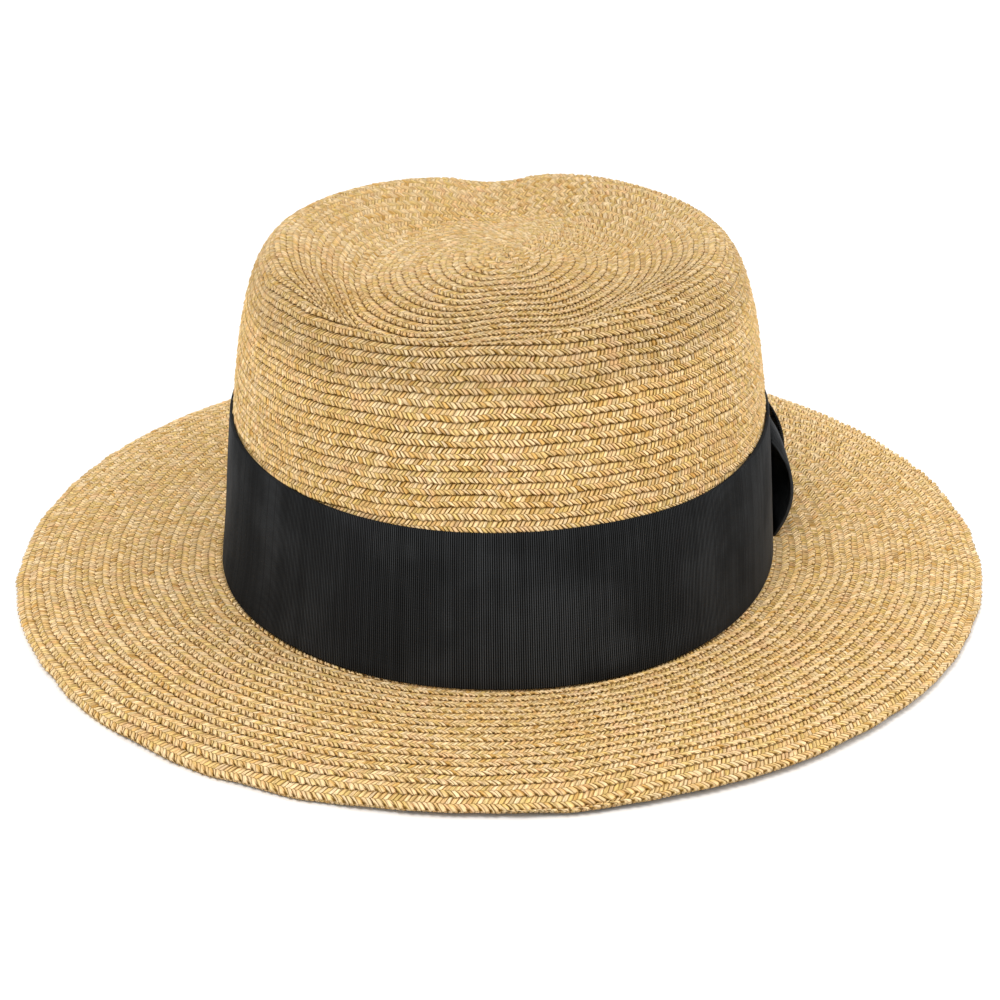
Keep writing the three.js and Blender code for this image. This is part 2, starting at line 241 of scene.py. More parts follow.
# Some shares here are of painted light: the highlight on the edge bumps, the shade where strands
# cross, how much painted shade fades on the crown's top, and how much fainter the seams' painted
# shade and dirt are on the brim and crown top.
STRAW_AMOUNTS = {
    "own_chance": 0.6, "straw_chance": 0.22, "tone": 0.22, "bead_highlight": 0.42, "tight": 0.16,
    "cross": 0.95, "shade_softened": 0.8, "laid_seam": -0.62, "fibre_height": 0.22, "cross_height": 0.5,
    "batch_strand": 0.19, "batch_half_row": 7.3, "fibre_along": 3.4, "fibre_across": 1.6,
    "specular": 0.1, "roundness": 2.4,
}
RIBBON_CLOUD = (35.0, 3.0)
RIBBON_STEPS = {
    # The cord is a painted highlight on the ribs' tops, with painted shade between them.
    "cord": (0.35, 0.07), "own": (0, 1, 0.7, 1.0), "rubbed": (0.35, 0.7, 0.6, 1.3),
    "roughness": (0.0, 1.0, 0.75, 0.5),
}
RIBBON_AMOUNTS = {"specular": 0.07, "roundness": 2.2, "thread": 0.12}
FLOOR_AMOUNTS = {"specular": 0.1, "roughness": 0.9}

# ---------------------------------------------------------------- stage

LIGHTS = (
    ("key_light", (-0.35, -1.15, 2.1), 1.1, "key_power"),
    ("fill_light", (1.5, -0.4, 1.2), 1.4, "fill_power"),
)
LIGHT_TARGET = (0, 0, 0.05)
CAMERA_TARGET = (0.0005, 0.002, 0.0199)
SENSOR_WIDTH_MM = 36.0
CAMERA_SEES_TO = 100.0


def table(columns, rows):
    """A table's columns by name, as arrays."""
    return {name: np.array([row[i] for row in rows], float) for i, name in enumerate(columns)}


def smooth_share(value, low, high):
    """0 below low, 1 above high and an even S between them."""
    share = np.clip((value - low) / (high - low), 0, 1)
    return share * share * (3 - 2 * share)


def hermite(t, start, start_slope, end, end_slope):
    """Cubic through two values with slopes already scaled to the span."""
    t2, t3 = t * t, t * t * t
    return (
        (2 * t3 - 3 * t2 + 1) * start + (t3 - 2 * t2 + t) * start_slope
        + (3 * t2 - 2 * t3) * end + (t3 - t2) * end_slope
    )


def round_table(columns, rows, azimuth):
    """A table's columns in each direction, joined smoothly right round the hat."""
    found = table(columns, rows)
    stops = found.pop("azimuth")
    count = len(stops)
    angle = np.mod(azimuth, TURN)
    index = np.searchsorted(stops, angle, side="right") - 1

    def stop(k):
        return stops[k % count] + TURN * (k // count)

    span = stop(index + 1) - stop(index)
    share = (angle - stop(index)) / span
    result = {}
    for name, values in found.items():
        def slope(k):
            rise = values[(k + 1) % count] - values[(k - 1) % count]
            return rise / (stop(k + 1) - stop(k - 1))
        result[name] = hermite(
            share, values[index % count], slope(index) * span,
            values[(index + 1) % count], slope(index + 1) * span,
        )
    return result


def oval_point(oval, azimuth):
    """Points on an oval: squareness 2 is an ellipse, and more is fuller at the corners."""
    angle = np.radians(azimuth)
    x, y, n = np.cos(angle), np.sin(angle), oval["squareness"]
    reach = (np.abs(x) ** n + np.abs(y) ** n) ** (-1 / n)
    return np.stack([oval["half_width"] * reach * x, oval["half_length"] * reach * y], -1)


def oval_normal(oval, azimuth, nudge=0.01):
    """Outward directions of that oval, seen from above."""
    along = oval_point(oval, azimuth + nudge) - oval_point(oval, azimuth - nudge)
    along /= np.linalg.norm(along, axis=-1, keepdims=True)
    return np.stack([along[..., 1], -along[..., 0]], -1)


def rounded_slope(distance, slope, radius):
    """A height that follows a slope but starts level with a rounded top."""
    return np.tan(np.radians(slope)) * (np.hypot(distance, radius) - radius)


def nearness(azimuth, middle, half_span):
    """1 in the middle direction, falling smoothly to 0 at half_span on each side."""
    away = np.abs(np.mod(azimuth - middle + TURN / 2, TURN) - TURN / 2)
    return 0.5 + 0.5 * np.cos(np.pi * np.minimum(away / half_span, 1))


def edge_lift(azimuth):
    """How far the brim's edge lifts off the surface."""
    near = nearness(azimuth, EDGE_ARCH["azimuth"], EDGE_ARCH["half_span"])
    return EDGE_ARCH["height"] * near


def brim_heights(shares, knots, heights):
    """Heights through the brim's named heights, without overshoot."""
    knots = np.array(knots, float)
    steps = np.diff(heights, axis=1) / np.diff(knots)
    slopes = np.zeros_like(heights)
    before, after = steps[:, :-1], steps[:, 1:]
    both = np.where(np.abs(before + after) < 1e-12, 1, before + after)
    slopes[:, 1:-1] = np.where(before * after <= 0, 0, 2 * before * after / both)
    slopes[:, 0], slopes[:, -1] = steps[:, 0], steps[:, -1]
    index = np.clip(np.searchsorted(knots, shares, side="right") - 1, 0, len(knots) - 2)
    span = knots[index + 1] - knots[index]
    return hermite(
        (shares - knots[index]) / span, heights[:, index], slopes[:, index] * span,
        heights[:, index + 1], slopes[:, index + 1] * span,
    )


def meridians(azimuth):
    """Points down each direction's line from the crown's middle to the brim's edge, millimetres.

    Also returns how many of them lie inside the dent and on the crown.
    """
    form = round_table(CROWN_COLUMNS, CROWN_ROWS, azimuth)
    form = {name: values[:, None] for name, values in form.items()}
    base = oval_point(CROWN_OVAL, azimuth)[:, None, :]
    out = oval_normal(CROWN_OVAL, azimuth)[:, None, :]
    rim = base - form["rim_inset"][..., None] * out
    start = np.zeros_like(rim)
    start[:, 0, 0] = CENTRE["x"]
    start[:, 0, 1] = CENTRE["y"] + CENTRE["half_length"] * np.sin(np.radians(azimuth))
    reach = np.linalg.norm(rim - start, axis=-1)

    share = np.linspace(0, 1, MERIDIAN_STEPS["dent"] + 1)[None, :]
    middle = CENTRE["height"] - rounded_slope(share * reach, form["fall"], CENTRE["round_radius"])
    side = form["rim_z"] - rounded_slope((1 - share) * reach, form["climb"], form["rim_radius"])
    dent_z = 0.5 * (middle + side + np.hypot(middle - side, DENT_BLEND_MM))
    dent_z -= (dent_z[:, -1:] - form["rim_z"]) * share ** RIM_PULL
    dent = start + (rim - start) * share[..., None]
    dent = np.concatenate([dent, dent_z[..., None]], -1)

    t = np.linspace(0, 1, MERIDIAN_STEPS["wall"] + 1)[None, 1:]
    weights = ((1 - t) ** 3, 3 * (1 - t) ** 2 * t, 3 * (1 - t) * t * t, t ** 3)
    insets = (form["rim_inset"], form["shoulder_inset"], form["wall_inset"], 0)
    levels = (form["rim_z"], form["shoulder_z"], form["wall_z"], form["break_z"])
    inset = sum(weight * value for weight, value in zip(weights, insets))
    wall_z = sum(weight * value for weight, value in zip(weights, levels))
    wall = np.concatenate([base - inset[..., None] * out, wall_z[..., None]], -1)

    brim_form = round_table(BRIM_COLUMNS, BRIM_ROWS, azimuth)
    share = np.linspace(0, 1, MERIDIAN_STEPS["brim"] + 1)[1:]
    heights = np.stack([
        form["break_z"][:, 0], brim_form["inner_z"], brim_form["middle_z"], brim_form["outer_z"],
        np.full(len(azimuth), STRAW_THICKNESS_MM),
    ], 1)
    brim_z = brim_heights(share, BRIM_SHARES, heights) + edge_lift(azimuth)[:, None] * share
    edge = oval_point(BRIM_OVAL, azimuth)[:, None, :]
    brim = base + (edge - base) * share[None, :, None]
    brim = np.concatenate([brim, brim_z[..., None]], -1)
    return np.concatenate([dent, wall, brim], 1)


def row_width(winding):
    """Share of a full row's width: the braid's last stretch tapers to nothing."""
    last = TURN * (ROWS_TO_EDGE - 1)
    return smooth_share(last - winding, 0, BRAID_END["taper"])


def rows_to_break(azimuth):
    """Rows from the crown's middle to where the crown turns into the brim."""
    return ROWS_TO_BREAK + BREAK_ROWS_AT_SIDES * (0.5 + 0.5 * np.cos(np.radians(2 * azimuth)))


def wall_pitch(azimuth):
    """Width of the rows on the crown's wall, millimetres."""
    return round_table(WALL_PITCH_COLUMNS, WALL_PITCH_ROWS, azimuth)["pitch"]


class HatSurface:
    """The hat's outer surface on a grid of directions and braid rows, in metres."""

    def __init__(self):
        azimuth = np.arange(0, TURN, AZIMUTH_STEP)
        lines = meridians(azimuth)
        steps = np.linalg.norm(np.diff(lines, axis=1), axis=-1)
        length = np.concatenate([np.zeros((len(azimuth), 1)), np.cumsum(steps, 1)], 1)
        to_rim = length[:, MERIDIAN_STEPS["dent"]]
        to_break = length[:, MERIDIAN_STEPS["dent"] + MERIDIAN_STEPS["wall"]]
        to_edge = length[:, -1]
        at_break = rows_to_break(azimuth)
        at_rim = at_break - (to_break - to_rim) / wall_pitch(azimuth)
        turned = np.mod(azimuth - BRAID_END["azimuth"], TURN)
        at_edge = ROWS_TO_EDGE - 1 - turned / TURN + smooth_share(turned, 0, BRAID_END["taper"])
        rows = np.arange(0, ROWS_TO_EDGE + ROWS_BEYOND_EDGE, ROW_STEP)
        grid = np.zeros((len(azimuth), len(rows), 3))
        for i in range(len(azimuth)):
            marks = (0, at_rim[i], at_break[i], at_edge[i])
            there = np.interp(rows, marks, (0, to_rim[i], to_break[i], to_edge[i]))
            brim_pitch = (to_edge[i] - to_break[i]) / (at_edge[i] - at_break[i])
            over = np.maximum(rows - at_edge[i], 0) * brim_pitch
            for axis in range(3):
                grid[i, :, axis] = np.interp(there, length[i], lines[i, :, axis])
            last = lines[i, -1] - lines[i, -1 - EDGE_STEPS]
            grid[i] += over[:, None] * last / np.linalg.norm(last)
        self.points = grid * MM
        outwards = np.gradient(self.points, axis=1)
        ahead, behind = np.roll(self.points, -1, 0), np.roll(self.points, 1, 0)
        normals = np.cross(outwards, ahead - behind)
        first = int(CENTRE_ROWS / ROW_STEP)
        for field in (outwards, normals):
            field[:, :first] = field[:, first:first + 1]
            field /= np.linalg.norm(field, axis=-1, keepdims=True)
        self.outwards, self.normals = outwards, normals

    def at(self, azimuth, row):
        """Points, normals and outward directions for directions and row numbers."""
        x = np.mod(azimuth, TURN) / AZIMUTH_STEP
        y = np.clip(row / ROW_STEP, 0, self.points.shape[1] - 1 - TINY)
        i, j = np.floor(x).astype(int), np.floor(y).astype(int)
        across, along = (x - i)[..., None], (y - j)[..., None]
        i = i % self.points.shape[0]
        k = (i + 1) % self.points.shape[0]
        found = []
        for field in (self.points, self.normals, self.outwards):
            low = field[i, j] * (1 - across) + field[k, j] * across
            high = field[i, j + 1] * (1 - across) + field[k, j + 1] * across
            found.append(low * (1 - along) + high * along)
        return found

    def on_wall(self, azimuth, up_mm, off_mm):
        """Points off the crown's wall: up along it from the break, and out from it."""
        row = rows_to_break(azimuth) - up_mm / wall_pitch(azimuth)
        point, normal, _ = self.at(azimuth, row)
        return point + normal * (np.asarray(off_mm) * MM)[..., None], normal


SURFACES = []


def hat_surface():
    """The one grid that every piece is laid on."""
    if not SURFACES:
        SURFACES.append(HatSurface())
    return SURFACES[0]


# ---------------------------------------------------------------- meshes


def mesh_object(name, points, faces, attributes, corner_maps):
    """A mesh object from arrays. faces is a list of index arrays of 3, 4 or more corners each."""
    flat = [face.reshape(-1) for face in faces]
    sizes = np.concatenate([np.full(len(face), face.shape[1]) for face in faces])
    corners = np.concatenate(flat).astype(np.int32)
    mesh = bpy.data.meshes.new(name)
    mesh.vertices.add(len(points))
    mesh.vertices.foreach_set("co", points.astype(np.float32).ravel())
    mesh.loops.add(len(corners))
    mesh.loops.foreach_set("vertex_index", corners)
    mesh.polygons.add(len(sizes))
    starts = np.concatenate([[0], np.cumsum(sizes)[:-1]]).astype(np.int32)
    mesh.polygons.foreach_set("loop_start", starts)
    mesh.update(calc_edges=True)
    mesh.polygons.foreach_set("use_smooth", np.ones(len(sizes), bool))
    for label, values in attributes.items():
        kind = "FLOAT_VECTOR" if values.ndim == 2 else "FLOAT"
        field = "vector" if values.ndim == 2 else "value"
        attribute = mesh.attributes.new(label, kind, "POINT")
        attribute.data.foreach_set(field, values.astype(np.float32).ravel())
    for label, values in corner_maps.items():
        layer = mesh.uv_layers.new(name=label)
        layer.data.foreach_set("uv", np.concatenate(values).astype(np.float32).ravel())
    made = bpy.data.objects.new(name, mesh)
    bpy.context.collection.objects.link(made)
    return made


def mark_grooves(made, top_count, across, groove):
    """Crease the top's edges that run across the ribbon, where groove(column, k) says so."""
    mesh = made.data
    ends = np.zeros(len(mesh.edges) * 2, np.int32)
    mesh.edges.foreach_get("vertices", ends)
    low, high = np.sort(ends.reshape(-1, 2), axis=1).T
    column, k = low // across, low % across
    crossing = (high < top_count) & (high - low == 1) & (k < across - 1)
    sharp = mesh.attributes.new("sharp_edge", "BOOLEAN", "EDGE")
    sharp.data.foreach_set("value", crossing & groove(column, k))


def seam_shapes(fine):
    """The shapes that join a seam's sides: corners, each a side and how many columns ahead."""
    if fine == 1:
        return [(("top", 0), ("top", 1), ("under", 1), ("under", 0))]
    shapes = [(("top", i), ("top", i + 1), ("under", int(2 * i >= fine))) for i in range(fine)]
    return shapes + [(("top", fine // 2), ("under", 1), ("under", 0))]


def wrapped_ribbon(name, points, fields, across, fine, steps, rings, lines, look, closed=False,
                   groove=None):
    """A closed ribbon: a top with fine columns of points to each step, and an underside with one.

    points and fields hold the top's columns and then the underside's, and across gives each
    side's points in a column. Places along the ribbon are in steps. look is the name of a map
    and a function that gives it from corners' numbers, places and rings.
    """
    per_line = math.ceil(steps / lines)
    lines = math.ceil(steps / per_line)
    sides, start = {}, 0
    for side, per_step in (("top", fine), ("under", 1)):
        columns = per_step * steps + (not closed)
        sides[side] = {
            "per_step": per_step, "columns": columns, "start": start, "across": across[side],
            "rings": np.linspace(*rings[side], across[side]),
        }
        start += columns * across[side]
    faces, seen, baked = [], [], []

    def add(corners, wrap):
        """A row of faces. Each corner is a side, its columns and its place in them."""
        rows = []
        for side, column, k in corners:
            of = sides[side]
            number = of["start"] + column % of["columns"] * of["across"] + k
            ring = np.full(len(column), wrap.get(side, of["rings"][k]))
            rows.append((number, column / of["per_step"], ring))
        numbers, places, levels = (np.stack(values, -1) for values in zip(*rows))
        faces.append(numbers)
        seen.append(np.stack(look[1](numbers, places, levels), -1).reshape(-1, 2))
        line = np.minimum(places.min(1) // per_line, lines - 1)[:, None]
        x = (places - line * per_line) / per_line * BAKE_WIDTH
        y = (line + levels * (1 - BAKE_LINE_GAP)) / lines
        baked.append(np.stack([x, y], -1).reshape(-1, 2))

    for side, of in sides.items():
        column = np.arange(of["per_step"] * steps)
        for k in range(of["across"] - 1):
            add([(side, column + ahead, k + up) for ahead, up in ((0, 0), (1, 0), (1, 1), (0, 1))],
                {})
    step = np.arange(steps)
    for turned, row, wrap in (
        (1, {"top": across["top"] - 1, "under": 0}, {}),
        (-1, {"top": 0, "under": across["under"] - 1}, rings["wrap"]),
    ):
        for shape in seam_shapes(fine):
            add([(side, sides[side]["per_step"] * step + ahead, row[side])
                 for side, ahead in shape[::turned]], wrap)
    for end, turned in () if closed else ((0, 1), (steps, -1)):
        cap = np.concatenate([
            of["start"] + of["per_step"] * end * of["across"] + np.arange(of["across"])
            for of in sides.values()
        ])[::turned]
        size = len(cap)
        faces.append(cap[None, :])
        seen.append(np.stack(look[1](cap, np.full(size, float(end)), np.linspace(0, 1, size)), -1))
        angle = np.linspace(0, math.tau, size, endpoint=False)[::turned]
        spot = np.array([0.5 * (1 + BAKE_WIDTH), BAKE_CAP_HEIGHTS[end > 0]])
        round_it = np.stack([np.cos(angle), np.sin(angle)], -1)
        baked.append(spot + BAKE_CAP_RADIUS * (1 - BAKE_WIDTH) * round_it)

    made = mesh_object(name, points, faces, fields, {look[0]: seen, "OFBake": baked})
    if groove:
        mark_grooves(made, sides["under"]["start"], across["top"], groove)
    return made


def setting_name(size):
    """The setting that a node tree's input takes its value from."""
    return size.lower().replace(" ", "_")


def grown(made, tree, settings, values, drop):
    """made with the node tree's result as its plain mesh: values, and the settings for the rest."""
    modifier = made.modifiers.new(tree.name, "NODES")
    modifier.node_group = tree
    for item in tree.interface.items_tree:
        if item.name in values:
            modifier[item.identifier] = values[item.name]
        elif item.name != "Geometry":
            modifier[item.identifier] = getattr(settings, setting_name(item.name))
    graph = bpy.context.evaluated_depsgraph_get()
    graph.update()
    mesh = bpy.data.meshes.new_from_object(
        made.evaluated_get(graph), preserve_all_data_layers=True, depsgraph=graph)
    made.modifiers.remove(modifier)
    old = made.data
    made.data = mesh
    bpy.data.meshes.remove(old)
    mesh.name = made.name
    for label in drop:
        found = mesh.attributes.get(label)
        if found:
            mesh.attributes.remove(found)
    if not mesh.polygons:
        raise RuntimeError(f"{made.name}: the node tree {tree.name} made nothing")
    return made


# ---------------------------------------------------------------- node trees


class Wiring:
    """Adds nodes to a tree, with sockets or plain values given as inputs."""

    def __init__(self, tree):
        self.tree = tree

    def node(self, kind, *inputs, **settings):
        """A new node, its enabled inputs joined in order and its own settings set."""
        made = self.tree.nodes.new(kind)
        label = settings.pop("label", None)
        if label:
            made.label = label
        for key, value in settings.items():
            setattr(made, key, value)
        sockets = [socket for socket in made.inputs if socket.enabled]
        for socket, value in zip(sockets, inputs):
            self.join(value, socket)
        return made

    def join(self, value, socket):
        """Link a socket to another, or set its plain value."""
        if isinstance(value, bpy.types.NodeSocket):
            self.tree.links.new(value, socket)
        else:
            socket.default_value = value

    def math(self, operation, *inputs, label=None):
        """One sum of plain numbers."""
        made = self.node("ShaderNodeMath", *inputs, operation=operation, label=label)
        return made.outputs[0]

    def vector(self, operation, *inputs):
        """One sum of vectors."""
        made = self.node("ShaderNodeVectorMath", *inputs, operation=operation)
        return made.outputs["Value" if operation == "LENGTH" else "Vector"]

    def scaled(self, vector, factor):
        """A vector made longer or shorter."""
        made = self.node("ShaderNodeVectorMath", operation="SCALE")
        self.join(vector, made.inputs[0])
        self.join(factor, made.inputs["Scale"])
        return made.outputs["Vector"]

    def product(self, first, *others):
        """All the values multiplied, one after the other."""
        for other in others:
            first = self.math("MULTIPLY", first, other)
        return first

    def total(self, first, *others):
        """All the values added, one after the other."""
        for other in others:
            first = self.math("ADD", first, other)
        return first

    def nearest(self, place):
        """The nearest whole number, and how far off it a place is."""
        number = self.math("ROUND", place, label="number of the strand or rib")
        away = self.math("SUBTRACT", place, number)
        return number, self.math("ABSOLUTE", away, label="off its ridge")

    def noise(self, place, scale, detail, label):
        """Smooth chance round 0.5 that changes over lengths of about 1 / scale."""
        made = self.node("ShaderNodeTexNoise", noise_dimensions="3D", label=label)
        for name, value in (("Vector", place), ("Scale", scale), ("Detail", detail)):
            self.join(value, made.inputs[name])
        return made.outputs[0]


def new_tree(name, settings, sizes):
    """A geometry tree with its wiring and its inputs: geometry, named sizes and a material."""
    tree = bpy.data.node_groups.new(name, "GeometryNodeTree")
    side = tree.interface
    side.new_socket("Geometry", in_out="INPUT", socket_type="NodeSocketGeometry")
    for size in sizes:
        kind = "NodeSocketInt" if size == "Seed" else "NodeSocketFloat"
        socket = side.new_socket(size, in_out="INPUT", socket_type=kind)
        socket.default_value = getattr(settings, setting_name(size))
    side.new_socket("Material", in_out="INPUT", socket_type="NodeSocketMaterial")
    side.new_socket("Geometry", in_out="OUTPUT", socket_type="NodeSocketGeometry")
    return tree, Wiring(tree), tree.nodes.new("NodeGroupInput")


def named(wires, name, kind="FLOAT"):
    """A mesh's own attribute in a geometry tree."""
    made = wires.node("GeometryNodeInputNamedAttribute", data_type=kind, label=name)
    made.inputs["Name"].default_value = name
    return made.outputs["Attribute"]


def finished_tree(tree, wires, start, offset):
    """Close a geometry tree: move the points, then Realize Instances and Set Material."""
    moved = wires.node("GeometryNodeSetPosition")
    wires.join(start.outputs["Geometry"], moved.inputs["Geometry"])
    wires.join(offset, moved.inputs["Offset"])
    real = wires.node("GeometryNodeRealizeInstances")
    wires.join(moved.outputs[0], real.inputs[0])
    coat = wires.node("GeometryNodeSetMaterial")
    wires.join(real.outputs[0], coat.inputs["Geometry"])
    wires.join(start.outputs["Material"], coat.inputs["Material"])
    end = tree.nodes.new("NodeGroupOutput")
    wires.join(coat.outputs[0], end.inputs["Geometry"])
    return tree


def wandering(wires, start, reach, size, label):
    """A slow stray either way: reach and size name the tree's inputs for how far and how long."""
    place = wires.node("GeometryNodeInputPosition").outputs[0]
    scale = wires.math("DIVIDE", 1.0, start.outputs[size])
    wave = wires.math("SUBTRACT", wires.noise(place, scale, 1.0, label), 0.5)
    return wires.product(wave, start.outputs[reach])


def plait_tree(settings):
    """Raises the strands of the plait, the bumps along its edge and its slow waver."""
    tree, wires, start = new_tree("Plaited strands", settings, (
        "Relief", "Unevenness", "Bump Every", "Bump Height", "Waver", "Waver Size", "Row Stray",
        "Row Stray Size", "Seed",
    ))
    strand = named(wires, "strand")
    angle = wires.product(strand, math.tau)
    wave = wires.math("COSINE", angle)
    chance = wires.node("FunctionNodeRandomValue", data_type="FLOAT", label="strand by strand")
    wires.join(-1.0, chance.inputs[2])
    wires.join(1.0, chance.inputs[3])
    wires.join(wires.math("ROUND", wires.product(strand, 2.0)), chance.inputs["ID"])
    wires.join(start.outputs["Seed"], chance.inputs["Seed"])
    uneven = wires.total(wires.product(chance.outputs[1], start.outputs["Unevenness"]), 1.0)
    height = wires.product(wave, named(wires, "swell"), uneven, start.outputs["Relief"])
    bump_angle = wires.math("DIVIDE", angle, start.outputs["Bump Every"])
    bumps = wires.product(wires.math("COSINE", bump_angle), named(wires, "lip"),
                          start.outputs["Bump Height"])
    away = wandering(wires, start, "Waver", "Waver Size", "slow waver")
    stray = wandering(wires, start, "Row Stray", "Row Stray Size", "each row's own stray")
    stray = wires.product(stray, named(wires, "lip"))
    rise = wires.total(height, bumps, named(wires, "rise"), wires.product(stray, STRAY_RISE))
    push = wires.product(wave, named(wires, "reach"), start.outputs["Relief"])
    push = wires.total(push, stray, wires.product(away, WAVER_PUSH), bumps)
    offset = wires.vector(
        "ADD", wires.scaled(named(wires, "outward", "FLOAT_VECTOR"), rise),
        wires.scaled(named(wires, "sideways", "FLOAT_VECTOR"), push),
    )
    return finished_tree(tree, wires, start, offset)


def rib_tree(settings):
    """Raises the ribs of a grosgrain ribbon."""
    sizes = ("Rib Height", "Waver", "Waver Size")
    tree, wires, start = new_tree("Ribbon ribs", settings, sizes)
    wave = wires.math("COSINE", wires.product(named(wires, "rib"), math.tau))
    ribs = wires.product(wave, start.outputs["Rib Height"], named(wires, "swell"))
    waver = wandering(wires, start, "Waver", "Waver Size", "slow waver")
    offset = wires.scaled(named(wires, "outward", "FLOAT_VECTOR"), wires.total(ribs, waver))
    return finished_tree(tree, wires, start, offset)


def tree_named(name, build, settings):
    """The node tree of that name, built the first time it is asked for."""
    return bpy.data.node_groups.get(name) or build(settings)


# ---------------------------------------------------------------- materials


def new_material(name):
    """A material with its wiring, its shader and its surface output joined."""
    material = bpy.data.materials.new(name)
    material.use_nodes = True
    nodes = material.node_tree.nodes
    nodes.clear()
    wires = Wiring(material.node_tree)
    shader = nodes.new("ShaderNodeBsdfPrincipled")
    out = nodes.new("ShaderNodeOutputMaterial")
    wires.join(shader.outputs[0], out.inputs[0])
    return material, wires, shader


def ramp(wires, factor, stops):
    """A colour ramp from (place, colour) stops."""
    made = wires.node("ShaderNodeValToRGB", factor)
    made.color_ramp.interpolation = "LINEAR"
    elements = made.color_ramp.elements
    while len(elements) < len(stops):
        elements.new(0.5)
    for element, (place, colour) in zip(elements, stops):
        element.position = place
        element.color = colour
    return made.outputs[0]


def mixed(wires, factor, first, second, mode="MIX"):
    """Two colours mixed."""
    made = wires.node("ShaderNodeMix", data_type="RGBA", blend_type=mode)
    wires.join(factor, made.inputs[0])
    wires.join(first, made.inputs[6])
    wires.join(second, made.inputs[7])
    return made.outputs[2]


def ease(wires, value, low, high, start=0.0, end=1.0):
    """A smooth step from start to end as value goes from low to high."""
    made = wires.node("ShaderNodeMapRange", interpolation_type="SMOOTHSTEP")
    for socket, given in zip(made.inputs, (value, low, high, start, end)):
        wires.join(given, socket)
    return made.outputs[0]


def dimmed(wires, colour, share):
    """A colour multiplied by a share of its brightness."""
    grey = wires.node("ShaderNodeCombineColor", share, share, share).outputs[0]
    return mixed(wires, 1.0, colour, grey, "MULTIPLY")


def ridge(wires, local, power):
    """Height over a strand or rib: 1 at its top and 0 at its sides."""
    return wires.math("SUBTRACT", 1.0, wires.math("POWER", wires.product(local, 2.0), power))


def add_bump(wires, shader, level, distance):
    """A shader's bump from a height."""
    bump = wires.node("ShaderNodeBump")
    bump.inputs["Strength"].default_value = 1.0
    bump.inputs["Distance"].default_value = distance
    wires.join(level, bump.inputs["Height"])
    wires.join(bump.outputs[0], shader.inputs["Normal"])


def strand_shades(wires, settings, number, lower, under, strand):
    """Each strand's own colour, and the chance node that picked it."""
    amount = STRAW_AMOUNTS
    seat = wires.node("ShaderNodeCombineXYZ", number, lower, under).outputs[0]
    chance = wires.node("ShaderNodeTexWhiteNoise", seat, noise_dimensions="3D")
    follow = wires.math("FLOOR", wires.math("DIVIDE", strand, STRAW_LASTS))
    repeat = wires.math("MODULO", number, PLAIT_STRAWS)
    straw = wires.node("ShaderNodeCombineXYZ", repeat, follow, lower).outputs[0]
    same = wires.node("ShaderNodeTexWhiteNoise", straw, noise_dimensions="3D")
    pick = wires.math("MULTIPLY_ADD", chance.outputs["Value"], amount["own_chance"],
                      wires.product(same.outputs["Value"], amount["straw_chance"]))
    batch_place = wires.node(
        "ShaderNodeCombineXYZ", wires.product(number, amount["batch_strand"]),
        wires.product(lower, amount["batch_half_row"]), under).outputs[0]
    batch = wires.noise(batch_place, *STRAW_NOISES["batch"], "strands of one batch")
    pick = wires.total(pick, ease(wires, batch, *STRAW_STEPS["batch"]))
    stops = [(place, tuple(getattr(settings, name + "_colour"))) for place, name in SHADES]
    return ramp(wires, pick, stops), chance


def straw_zones(wires, where):
    """How far a place is on the brim or the crown's top, on that top, and where painted shade fades
    there.

    Also returns its height.
    """
    spot = wires.node("ShaderNodeSeparateXYZ", where)
    height = spot.outputs[2]
    on_top = ease(wires, height, *CROWN_TOP_FROM)
    behind = ease(wires, spot.outputs[1], *REAR_FROM)
    centre = (CENTRE["x"] * MM, CENTRE["y"] * MM, 0)
    level = wires.vector("MULTIPLY", wires.vector("SUBTRACT", where, centre), (1, 1, 0))
    middle = ease(wires, wires.vector("LENGTH", level), *MIDDLE_WITHIN)
    # How much fainter the painted shade is: towards the crown top's rear and middle.
    shade_softened = wires.product(on_top, wires.math("MAXIMUM", behind, middle))
    laid = wires.math("MAXIMUM", on_top, ease(wires, height, *BRIM_BELOW),
                      label="brim and crown top")
    return laid, on_top, shade_softened, height


